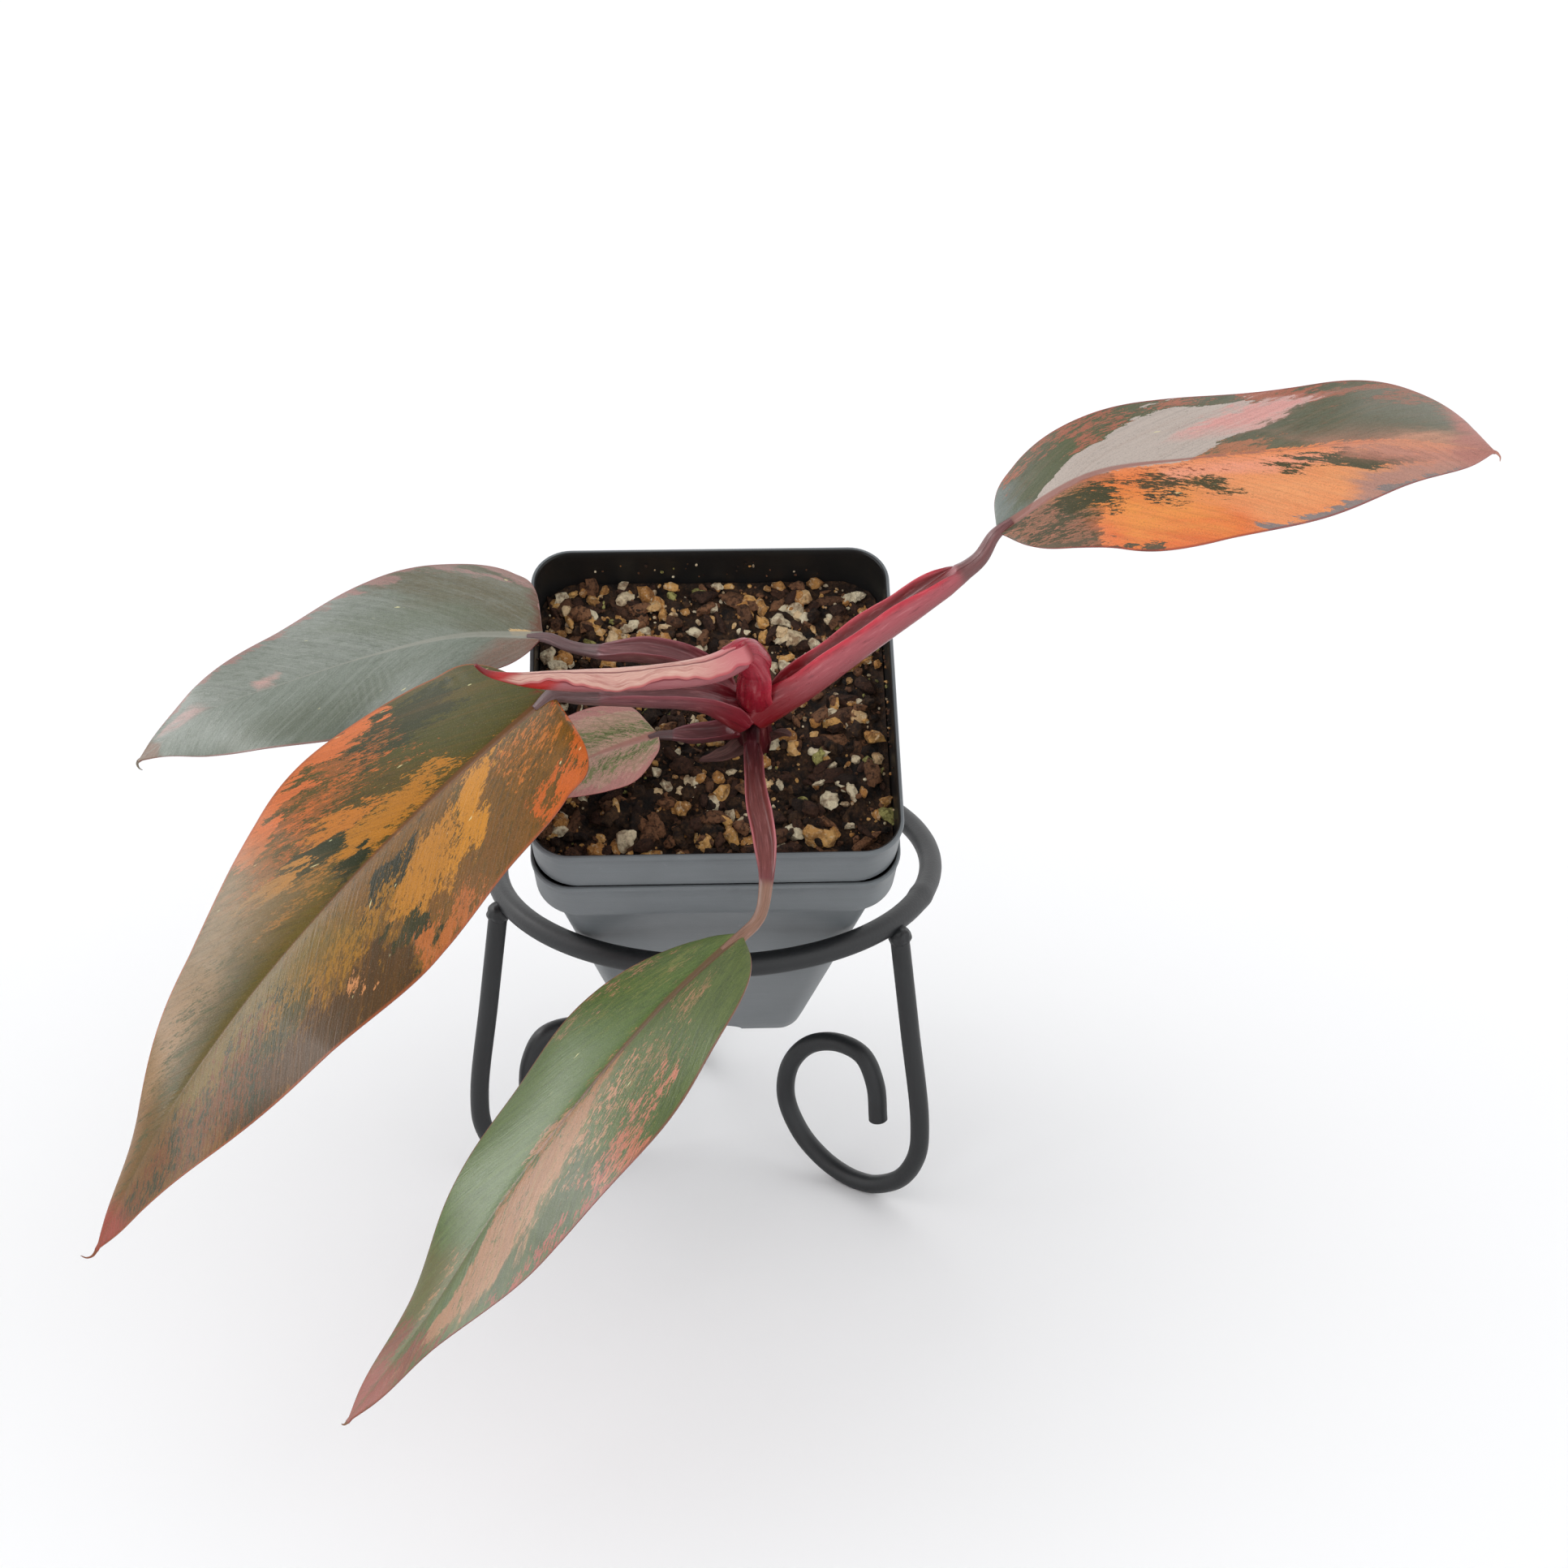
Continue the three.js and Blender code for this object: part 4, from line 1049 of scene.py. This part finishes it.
def variegated(name, slope, length, wide, grounds, markings, rib_colour, edge_colour, gloss, dusky,
               shine=0.6):
    """A leaf's colours. Length is that of its rib, and wide its half width as a share of that.
    Grounds are the right and left halves' own colours, and a darker and a lighter one that mottle
    them. A marking is its half (1 right, -1 left, 0 both), how much it slants forward, where it
    starts and ends along the rib and out from it, its colour, how densely it covers, how far its
    border scatters and how soft its patches are: from WASH up it is one streaky wash, and below
    that it breaks up into islands. Dusky is how much of the dark colour mottles the whole, and
    shine how strongly its skin reflects."""
    material, sheet = new_finish(name)
    along = sheet.mark("along")
    aside = sheet.mark("aside")
    out = sheet.mark("out")
    forward = math.hypot(1, slope)
    across = sheet.mark("vein") * (length / forward)
    down = out * (forward / STREAK)

    def patches(size, seed, detail=7, roughness=0.7):
        return sheet.at(across * (1 / size), down * (1 / size), seed).grain(1.0, detail, roughness)

    def islands(size, seed):
        """Noise whose high parts are islands of a size, with frayed shores."""
        frayed = patches(0.5, seed + 3, 4, 0.75)
        return 0.5 + (patches(size, seed) - 0.5) * 0.7 + (frayed - 0.5) * 0.75

    scatters = [islands(2.2, 5.0), islands(1.6, 11.0), islands(3.0, 17.0)]
    along_wandering = along + (patches(5.0, 51.0, 5) - 0.5) * 0.05
    aside_wandering = aside * (1 + (patches(4.0, 61.0, 5) - 0.5) * 0.5)
    broad = patches(9.0, 1.0, 4)
    fine = patches(0.8, 23.0, 4)
    threads = sheet.at(across * 1.9, down * 0.16, 31.0).grain(1.0, 3, 0.6)
    veins = sheet.at(across * 0.95, down * 0.045, 71.0).grain(1.0, 2, 0.5)
    cells = sheet.place().grain(3400, 3, 0.65)
    flecks = sheet.at(across * 0.62, down * 0.52, 41.0).grain(1.0, 2, 0.6)
    right, left, dark, light = (leafy(*ground) for ground in grounds)
    colour = sheet.plain(right).coated(
        (left, (0 - aside).rise(-0.01, 0.01)),
        (dark, (scatters[0] * 0.6 + fine * 0.4).rise(0.35, 0.8) * 0.6),
        (light, (scatters[2] * 0.5 + fine * 0.5).rise(0.5, 0.95) * 0.5))
    for count, marking in enumerate(markings):
        half, slant, start, end, inner, outer, tint, cover, border, soft = marking
        from_rib = abs(aside_wandering) if half == 0 else aside_wandering * half
        run = along_wandering - from_rib * slant
        inside = (run - start).least(end - run)
        inside = inside.least((from_rib - inner).least(outer - from_rib) * wide)
        there = inside.rise(-border, border)
        if soft < WASH:
            there = (there * cover - scatters[count % 3].most(0.04)).rise(0.0, soft)
        else:
            there = there * cover * (0.55 + 0.8 * scatters[count % 3])
        colour = colour.coated((leafy(*tint), there))
    rib_width = 0.2 + (0.48 - along).most(0) * 2.2
    rib_mask = (rib_width - out).rise(-0.15, 0.3) * (1 - along.rise(0.5, 0.9) * 0.8)
    colour = colour.coated(
        (dark, (scatters[1] * 0.35 + fine * 0.65).rise(0.56, 0.95) * dusky),
        (seen(226, 218, 160), flecks.rise(1.02, 1.1) * (1 - along.rise(0.5, 0.6)) * 0.7),
        (seen(24, 20, 14), (cells * 0.7 + threads * 0.3).rise(0.42, 1.0) * 0.34),
        (seen(240, 224, 200), (0.45 - cells).rise(0.05, 0.6) * 0.08),
        (seen(34, 32, 24), veins.rise(0.55, 0.9) * 0.12),
        (light, (0.45 - veins).rise(0.0, 0.4) * 0.14),
        (leafy(*rib_colour), rib_mask * (0.7 + 0.25 * broad)),
        (leafy(*edge_colour), abs(aside).rise(0.972, 0.994) * 0.7))
    beneath = sheet.plain(UNDERSIDE).coated((seen(94, 52, 52), broad.rise(0.3, 1.0) * 0.7))
    colour = beneath.coated((colour, sheet.mark("face_up").rise(0.4, 0.6)))
    relief = threads + cells * 0.5 + fine * 0.6
    lay_on(material, colour, gloss + 0.06 * fine + 0.04 * broad, relief, 0.035, 0.7,
           Specular_IOR_Level=shine)
    return material


LEAVES = {
    "right_leaf": (dict(
        rib=[(68.4, -55, 198.4), (90, -49, 210), (114, -43, 212), (139, -39, 213), (163, -36, 214),
             (188, -35, 211)],
        right=[7.5, 15, 22.5, 23, 18.5, 11, 5], left=[7.5, 13.5, 18, 20.3, 20.2, 18.4, 10.5],
        roll=-32, fold=-6, wave=0.8, waves=2.5, phase=0.6, slope=2.4, valley=0.5,
        bends=[(0.6, 0, -0.4), (1.3, 0, -1.3), (1.4, 0.2, -2.4)]), dict(
        length=125.0, wide=0.17,
        grounds=((186, 122, 98), (106, 108, 88), (84, 86, 62), (150, 112, 92)),
        rib_colour=(160, 108, 98), edge_colour=(150, 66, 60), gloss=0.36, dusky=0.2, markings=[
            (1, 0.0, -0.1, 0.27, 0.0, 1.1, (84, 80, 58), 0.55, 0.03, 0.05),
            (1, -0.1, 0.245, 0.95, -0.02, 1.2, (244, 146, 92), 1.25, 0.012, 0.04),
            (1, 0.0, 0.17, 0.5, 0.70, 1.2, (240, 120, 70), 0.9, 0.04, 0.5),
            (1, 0.0, 0.19, 0.31, 0.1, 0.5, (236, 116, 64), 0.9, 0.03, 0.5),
            (1, 0.1, 0.15, 0.36, 0.30, 0.84, (248, 162, 78), 0.75, 0.07, 0.6),
            (1, 0.2, 0.36, 0.68, 0.25, 0.85, (248, 176, 120), 0.7, 0.08, 0.6),
            (1, 0.0, 0.34, 0.72, 0.08, 0.26, (250, 166, 134), 0.9, 0.015, 0.5),
            (1, 0.0, 0.12, 0.24, 0.12, 0.48, (74, 72, 48), 0.9, 0.04, 0.05),
            (1, 0.45, 0.09, 0.20, 0.28, 0.52, (62, 62, 40), 0.5, 0.02, 0.05),
            (1, 0.35, 0.28, 0.35, 0.18, 0.52, (84, 76, 50), 0.72, 0.03, 0.06),
            (1, 0.3, 0.18, 0.30, 0.14, 0.36, (84, 72, 48), 0.72, 0.02, 0.05),
            (1, 0.2, 0.20, 0.45, 0.02, 0.17, (150, 84, 60), 0.6, 0.03, 0.05),
            (1, 0.35, 0.47, 0.55, 0.14, 0.34, (80, 76, 50), 0.7, 0.03, 0.06),
            (1, 0.40, 0.54, 0.68, 0.08, 0.58, (92, 88, 68), 0.85, 0.035, 0.06),
            (1, 0.40, 0.62, 0.78, 0.06, 0.55, (150, 104, 84), 0.7, 0.03, 0.08),
            (1, 0.0, 0.70, 1.1, 0.58, 1.1, (192, 144, 128), 1.2, 0.03, 0.4),
            (1, 0.3, 0.68, 1.2, -0.05, 0.75, (206, 146, 128), 0.9, 0.06, 0.4),
            (1, 0.0, 0.5, 0.95, 0.94, 1.2, (150, 136, 132), 1.0, 0.01, 0.2),
            (1, 0.0, -0.1, 0.30, 0.92, 1.2, (100, 90, 70), 0.8, 0.01, 0.08),
            (-1, 0.0, -0.2, 0.07, 0.08, 1.1, (124, 132, 126), 1.1, 0.03, 0.5),
            (-1, 0.2, 0.02, 0.30, 0.2, 0.9, (88, 98, 62), 0.6, 0.05, 0.3),
            (-1, 0.0, 0.05, 0.32, 0.70, 1.1, SALMON_BROWN, 0.55, 0.02, 0.06),
            (-1, 0.3, 0.03, 0.08, 0.48, 0.78, SALMON_BROWN, 0.62, 0.015, 0.06),
            (-1, 0.0, 0.30, 0.50, 0.84, 1.1, (178, 112, 90), 0.5, 0.02, 0.06),
            (-1, 0.0, 0.64, 0.97, 0.70, 1.1, SALMON_BROWN, 0.62, 0.03, 0.06),
            (-1, 0.0, 0.54, 0.68, 0.84, 1.1, SALMON_BROWN, 0.8, 0.015, 0.06),
            (-1, 0.2, 0.37, 0.55, -0.05, 0.23, (184, 124, 94), 0.62, 0.02, 0.06),
            (-1, 0.36, 0.055, 0.405, -0.02, 0.84, (198, 184, 174), 1.3, 0.008, 0.03),
            (-1, 0.36, 0.27, 0.40, 0.40, 0.82, (228, 166, 158), 1.2, 0.03, 0.6),
            (-1, 0.35, 0.78, 1.3, -0.05, 0.36, (216, 158, 130), 0.85, 0.05, 0.4),
            (-1, 0.0, 0.74, 1.0, 0.35, 0.95, (140, 138, 126), 0.6, 0.06, 0.4),
            (0, 0.0, 0.93, 1.2, 0.0, 1.1, (188, 128, 116), 1.2, 0.03, 0.5),
        ])),
    "back_leaf": (dict(
        rib=[(-40, -38, 165), (-61, -36, 164), (-82, -36, 159), (-102, -38, 153), (-123, -41, 146),
             (-140, -46, 135)],
        right=[13, 21.5, 26.4, 23.6, 16.8, 7, 3.3], left=[4.5, 10, 14.6, 21.3, 18.9, 11.2, 3.2],
        roll=27, fold=-3, wave=0.9, waves=2.5, phase=2, slope=1.5, pleat=2.0, valley=0.7,
        bends=[(-0.3, 0, -0.8), (0.1, -0.2, -1.8), (0.9, -0.3, -2.3)]), dict(
        length=107.0, wide=0.2,
        # The back leaf's pale silvery grounds are its own grey green lightened by painted sheen.
        grounds=((138, 144, 134), (128, 136, 124), (98, 108, 92), (166, 168, 160)),
        rib_colour=(152, 152, 140), edge_colour=(158, 112, 106), gloss=0.32, dusky=0.45,
        markings=[
            (1, 0.3, -0.4, 0.14, 0.0, 1.1, (110, 104, 82), 0.9, 0.08, 0.5),
            (0, 0.0, -0.2, 0.035, -0.1, 1.1, (112, 76, 60), 1.2, 0.02, 0.5),
            (1, 0.0, 0.0, 0.95, 0.93, 1.2, (164, 128, 120), 1.0, 0.01, 0.3),
            (1, 0.3, 0.06, 0.32, 0.12, 0.5, (110, 118, 98), 0.8, 0.06, 0.5),
            (-1, 0.1, -0.1, 0.09, 0.15, 1.1, (142, 108, 94), 0.75, 0.04, 0.4),
            # Painted shade: dark green streaks on the left half, where its pleats lie in shadow.
            (-1, 0.35, 0.18, 0.52, 0.38, 1.0, (98, 106, 88), 0.75, 0.05, 0.3),
            (1, 0.0, 0.64, 0.68, 0.04, 0.20, (196, 158, 148), 1.0, 0.015, 0.4),
            (1, 0.1, 0.79, 0.86, 0.1, 0.6, (188, 150, 142), 0.75, 0.02, 0.3),
            (1, 0.0, 0.03, 0.07, -0.03, 0.09, (214, 180, 130), 1.2, 0.006, 0.1),
            (0, 0.0, 0.94, 1.1, 0.0, 1.1, (124, 96, 74), 1.2, 0.02, 0.4),
        ])),
    "left_leaf": (dict(
        rib=[(-36, -64, 161), (-60, -81, 145), (-82, -101, 129), (-102, -121, 111),
             (-120, -138, 89), (-136, -148, 61)],
        right=[18.5, 28, 34, 28, 17.5, 6.5, 2.6], left=[19, 26, 30, 31, 24.5, 12, 5],
        roll=14, fold=0, wave=1.0, waves=3, phase=1, slope=1.6, valley=1.3,
        bends=[(-0.9, -0.4, -1.2), (-2.3, -0.5, -1.7), (-3.6, -0.4, -1.2)]), dict(
        length=167.8, wide=0.19,
        grounds=((100, 86, 45), (134, 94, 46), (66, 66, 32), (150, 102, 56)),
        rib_colour=(122, 84, 59), edge_colour=(176, 96, 62), gloss=0.26, dusky=0.62,
        shine=0.4,
        markings=[
            (1, 0.25, -0.4, 0.12, 0.0, 1.0, (88, 86, 46), 0.95, 0.06, 0.3),
            (1, 0.0, 0.09, 0.27, 0.52, 0.90, (68, 70, 37), 0.85, 0.03, 0.10),
            (1, 0.0, 0.19, 0.54, 0.42, 0.97, (160, 100, 56), 0.62, 0.05, 0.12),
            (1, 0.2, 0.07, 0.37, 0.38, 0.86, (208, 114, 59), 0.42, 0.04, 0.06),
            (1, 0.0, 0.165, 0.47, 0.87, 1.2, (222, 120, 66), 1.1, 0.012, 0.05),
            (1, 0.22, 0.12, 0.34, 0.02, 0.28, (192, 128, 53), 0.7, 0.03, 0.06),
            (1, 0.22, 0.20, 0.34, 0.02, 0.26, (192, 128, 54), 0.88, 0.03, 0.06),
            (1, 0.30, 0.24, 0.33, 0.25, 0.56, (62, 66, 35), 1.12, 0.012, 0.05),
            (1, 0.30, 0.285, 0.335, 0.36, 0.68, (206, 140, 66), 1.1, 0.012, 0.05),
            (1, 0.30, 0.19, 0.25, 0.26, 0.52, (202, 126, 56), 0.85, 0.018, 0.06),
            (1, 0.0, 0.335, 0.41, 0.03, 0.13, (58, 62, 30), 1.1, 0.012, 0.05),
            (1, 0.30, 0.31, 0.44, 0.08, 0.38, (178, 120, 56), 0.55, 0.03, 0.08),
            (1, 0.0, 0.44, 1.1, 0.25, 1.1, (154, 128, 92), 0.8, 0.08, 0.3),
            (1, 0.0, 0.57, 0.82, 0.0, 0.38, (84, 78, 30), 0.95, 0.06, 0.3),
            (1, 0.0, 0.64, 1.1, 0.48, 1.1, (168, 134, 98), 0.9, 0.08, 0.4),
            (1, 0.0, 0.78, 0.97, 0.0, 0.5, (106, 94, 54), 0.8, 0.05, 0.3),
            (-1, 0.0, -0.1, 0.15, 0.03, 0.64, (198, 120, 58), 0.45, 0.04, 0.06),
            (-1, 0.22, 0.085, 0.17, 0.03, 0.64, (208, 140, 51), 0.9, 0.03, 0.06),
            (-1, 0.22, 0.155, 0.19, 0.08, 0.5, (108, 86, 35), 0.6, 0.02, 0.06),
            (-1, 0.22, 0.165, 0.28, 0.20, 0.68, (196, 132, 54), 0.85, 0.03, 0.06),
            (-1, 0.30, 0.24, 0.33, 0.15, 0.36, (60, 60, 29), 1.1, 0.014, 0.05),
            (-1, 0.0, 0.10, 0.36, 0.60, 1.1, (130, 90, 48), 0.75, 0.05, 0.15),
            (-1, 0.0, 0.368, 0.45, 0.60, 0.84, (70, 68, 35), 1.12, 0.010, 0.05),
            (-1, 0.0, 0.29, 0.43, 0.78, 1.1, (190, 112, 60), 0.68, 0.03, 0.06),
            (-1, 0.0, -0.02, 0.15, 0.78, 1.2, (210, 108, 54), 0.85, 0.03, 0.05),
            (-1, 0.30, 0.22, 0.56, 0.18, 0.62, (168, 118, 45), 0.62, 0.05, 0.12),
            (-1, 0.0, 0.43, 0.77, 0.56, 1.1, (94, 70, 32), 0.95, 0.04, 0.15),
            (-1, 0.30, 0.42, 0.58, 0.34, 0.64, (88, 78, 27), 0.8, 0.03, 0.15),
            (-1, 0.0, 0.46, 0.78, 0.0, 0.30, (132, 112, 51), 0.8, 0.06, 0.4),
            (-1, 0.0, 0.49, 0.515, 0.64, 0.72, (214, 146, 94), 1.0, 0.010, 0.2),
            (0, 0.0, 0.80, 1.1, 0.0, 1.1, (128, 90, 50), 0.7, 0.06, 0.4),
            (-1, 0.2, 0.54, 0.94, 0.12, 1.1, (124, 78, 38), 0.62, 0.06, 0.12),
            (-1, 0.25, 0.46, 0.97, 0.04, 1.1, (70, 70, 34), 0.5, 0.06, 0.16),
            (1, 0.1, 0.50, 0.97, 0.0, 0.9, (94, 90, 54), 0.5, 0.08, 0.22),
            (0, 0.0, 0.93, 1.1, 0.0, 1.1, (160, 78, 62), 1.2, 0.03, 0.4),
            (0, 0.0, -0.1, 0.018, -0.1, 0.3, (142, 46, 29), 0.8, 0.012, 0.3),
        ])),
    "front_leaf": (dict(
        rib=[(9, -106.5, 119.6), (-9, -124, 110), (-27, -142, 96), (-44, -158, 79),
             (-59, -172, 60), (-76, -184, 41)],
        right=[6, 13.5, 18, 17.5, 13, 6, 3], left=[7, 15, 21, 23.5, 18, 7, 3],
        roll=0, fold=0, wave=0.8, waves=3, phase=3, slope=2.6, valley=0.8,
        bends=[(-0.5, -0.3, -0.3), (-0.9, -0.4, -0.3), (-1.2, -0.4, -0.1)]), dict(
        length=141.0, wide=0.14,
        grounds=((96, 118, 58), (94, 110, 56), (58, 78, 32), (126, 138, 76)),
        rib_colour=(116, 84, 66), edge_colour=(134, 74, 62), gloss=0.27, dusky=0.4,
        markings=[
            (1, 0.2, -0.2, 0.17, 0.15, 1.0, (122, 128, 68), 0.42, 0.05, 0.12),
            (1, 0.05, 0.03, 0.30, 0.70, 1.2, (192, 138, 108), 0.42, 0.03, 0.06),
            (1, 0.0, 0.04, 0.15, 0.22, 0.62, (152, 134, 86), 0.34, 0.04, 0.08),
            # Painted sheen: a paler green wash over the middle of the right half.
            (1, 0.0, 0.28, 0.62, 0.12, 1.0, (118, 136, 96), 0.7, 0.08, 0.5),
            (1, 0.0, 0.62, 0.82, 0.0, 0.6, (92, 108, 60), 0.8, 0.06, 0.4),
            (1, 0.3, 0.40, 0.50, -0.08, 0.12, (186, 142, 112), 0.7, 0.02, 0.10),
            (1, 0.0, 0.70, 0.86, 0.0, 1.1, (102, 98, 40), 0.95, 0.03, 0.3),
            (1, 0.0, 0.69, 0.82, 0.0, 0.35, (172, 126, 80), 0.45, 0.03, 0.12),
            (-1, 0.3, 0.0, 0.38, 0.0, 0.75, (150, 122, 82), 0.42, 0.06, 0.12),
            (-1, 0.6, -0.14, 0.1, 0.05, 0.7, (184, 136, 102), 0.32, 0.04, 0.06),
            (-1, 0.1, 0.19, 0.33, 0.50, 0.86, (200, 128, 100), 0.5, 0.02, 0.06),
            (-1, 0.0, 0.46, 0.76, 0.46, 0.97, (76, 88, 14), 1.0, 0.03, 0.3),
            (-1, 0.0, 0.38, 0.51, 0.64, 1.1, (196, 118, 88), 0.62, 0.03, 0.08),
            (-1, 0.0, 0.46, 0.74, 0.88, 1.2, (172, 90, 72), 0.62, 0.02, 0.10),
            (-1, 0.6, 0.10, 0.31, 0.08, 0.56, (196, 142, 106), 0.5, 0.03, 0.08),
            (-1, 0.6, 0.28, 0.60, 0.02, 0.74, (174, 126, 90), 1.0, 0.035, 0.10),
            (-1, 0.6, 0.26, 0.36, 0.15, 0.78, (188, 138, 100), 0.5, 0.03, 0.3),
            (-1, 0.6, 0.30, 0.64, 0.05, 0.8, (102, 104, 56), 0.36, 0.04, 0.15),
            (0, 0.0, 0.80, 0.95, 0.0, 1.1, (136, 78, 54), 0.72, 0.05, 0.2),
            (0, 0.0, 0.90, 1.1, 0.0, 1.1, (160, 88, 74), 1.2, 0.04, 0.5),
        ])),
    "low_leaf": (dict(
        rib=in_pot([(-13.6, -7.2, -5.2), (-27.4, -14.5, -1.6), (-37, -21.7, 2), (-47, -28, 4.6),
                    (-56, -33, 4)]),
        right=[7.5, 10.5, 13, 12, 8, 4, 1.6], left=[3.5, 7, 11.3, 11.4, 7.5, 3.5, 1.5],
        roll=26, fold=4, wave=0.4, waves=2, phase=0, slope=1.6, valley=0.4), dict(
        length=52.0, wide=0.25,
        grounds=((216, 172, 152), (218, 168, 152), (124, 128, 84), (232, 204, 178)),
        rib_colour=(182, 128, 116), edge_colour=(206, 136, 130), gloss=0.4, dusky=0.3,
        markings=[
            (0, 0.4, -0.4, 0.9, 0.04, 0.68, (136, 142, 92), 0.55, 0.08, 0.06),
            (0, 0.3, -0.3, 0.5, 0.05, 0.5, (106, 118, 70), 0.42, 0.05, 0.06),
            (0, 0.0, -0.1, 1.1, 0.80, 1.2, (206, 146, 138), 0.9, 0.03, 0.10),
        ])),
}
for node, (shape, colours) in LEAVES.items():
    finish = variegated(f"{node}_colours", shape["slope"], **colours)
    piece = blade(f"{node}_blade", finish, **shape)
    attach(piece, "root")
    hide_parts(node)

# Brown papery remains of old sheaths, dried hard and curled at the foot of the stem, one on
# each side of it.
SCALES = {
    "dried_sheath_left": ([1.6, 2.2, 2.6, 2.4, 2, 1.2, 0.8], dict(
        rib=in_pot([(7.4, -7.4, -9.4), (4, -11.2, -8), (0.4, -12.8, -7.6), (-3.6, -13.4, -7.8)]),
        roll=26, fold=24, wave=0.25, phase=0)),
    "dried_sheath_right": ([1.4, 2, 2.4, 2.2, 1.6, 1, 0.7], dict(
        rib=in_pot([(13, -6, -9.6), (15.4, -6.8, -6.6), (17, -8.2, -3.8), (18.6, -10, -2)]),
        roll=0, fold=20, wave=0.2, phase=1)),
}


def dry_scale():
    """Dull brown dried tissue with darker fibres along it."""
    material, sheet = new_finish("dry_scale")
    fibres = sheet.at(sheet.mark("aside") * 14, sheet.mark("along") * 3).grain(1.0, 3, 0.6)
    colour = sheet.plain(seen(108, 68, 62)).coated((seen(60, 38, 34), fibres.rise(0.2, 0.9)))
    lay_on(material, colour, 0.62 + 0.15 * fibres, fibres, 0.12, 0.8)
    return material


papery = dry_scale()
for node, (half, shape) in SCALES.items():
    piece = blade(f"{node}_scale", papery, right=half, left=half, waves=2, slope=1.5, pleat=7.0,
                  fineness=0.4, **shape)
    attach(piece, "root")
    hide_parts(node)

# The studio's floor: a plain pale sheet that lies flat under the stand's feet. It is matte, so
# that it catches only a soft shadow.
FLOOR_REACH = 4.0
FLOOR_WHITE = (0.955, 0.955, 0.96)
material, sheet = new_finish("pale_table")
speck = sheet.place().grain(3, 4)
colour = sheet.plain(FLOOR_WHITE).coated((seen(248, 248, 248), speck * 0.5))
lay_on(material, colour, 0.8 + 0.05 * speck, Specular_IOR_Level=0.0)
floor_mesh = bpy.data.meshes.new("table")
corners = [(x * FLOOR_REACH, y * FLOOR_REACH, 0) for x, y in ((-1, -1), (1, -1), (1, 1), (-1, 1))]
floor_mesh.from_pydata(corners, [], [(0, 1, 2, 3)])
floor_mesh.materials.append(material)
table = bpy.data.objects.new("table", floor_mesh)
bpy.context.scene.collection.objects.link(table)

# Soft white light from all round, weaker from high above and a little stronger from behind. A
# wide weak sun gives the soft shadows. The long light on the left is like a window's, and is
# seen only in glossy skins, as highlights.
SKY_WHITE = (0.985, 0.99, 1.0, 1)
SKY_SHINE = 1.32
LESS_ABOVE = 0.85
MORE_BEHIND = 0.06
FILL_SHINE = 0.3
FILL_WIDTH = 60
WINDOW_SHINE = 17.0
WINDOW_AZIMUTH = -94
WINDOW_HEIGHT = 43
WINDOW_AWAY = 2.0
WINDOW_SIZE = (2.0, 0.45)
world = bpy.data.worlds.new("studio")
world.use_nodes = True
sky = Shade(world.node_tree)
facing = sky.node("ShaderNodeTexCoord", output="Generated")
background = world.node_tree.nodes["Background"]
background.inputs["Color"].default_value = SKY_WHITE
above = LESS_ABOVE * facing.way("Z").rise(0.68, 0.93)
strength = SKY_SHINE - above + MORE_BEHIND * facing.way("Y").rise(-0.7, 0.7)
world.node_tree.links.new(strength.socket, background.inputs["Strength"])
bpy.context.scene.world = world

azimuth, height = math.radians(WINDOW_AZIMUTH), math.radians(WINDOW_HEIGHT)
window_side = Vector((
    math.sin(azimuth) * math.cos(height), math.cos(azimuth) * math.cos(height), math.sin(height)))
fill = bpy.data.lights.new("fill", "SUN")
fill.energy = FILL_SHINE
fill.angle = math.radians(FILL_WIDTH)
window = bpy.data.lights.new("window", "AREA")
window.energy = WINDOW_SHINE
window.shape = "RECTANGLE"
window.size, window.size_y = WINDOW_SIZE
for lamp in (fill, window):
    lamp_thing = bpy.data.objects.new(lamp.name, lamp)
    lamp_thing.rotation_euler = window_side.to_track_quat("Z", "Y").to_euler()
    lamp_thing.location = window_side * WINDOW_AWAY
    lamp_thing.visible_diffuse = lamp is fill
    bpy.context.scene.collection.objects.link(lamp_thing)

# The camera stands in front of the plant and looks down on it. Its place is in millimetres in
# the stand's frame.
CAMERA_AT = np.array([18.7, -697.3, 437.2])
CAMERA_TILT = 64.66
CAMERA_LENS = 67.08
CAMERA_SENSOR = 36
camera_data = bpy.data.cameras.new("camera")
camera_data.lens = CAMERA_LENS
camera_data.sensor_width = CAMERA_SENSOR
camera = bpy.data.objects.new("camera", camera_data)
camera.location = CAMERA_AT / 1000 + STAND_AXIS
camera.rotation_euler = (math.radians(CAMERA_TILT), 0, 0)
bpy.context.scene.collection.objects.link(camera)
bpy.context.scene.camera = camera
bpy.context.scene.view_settings.view_transform = "Standard"
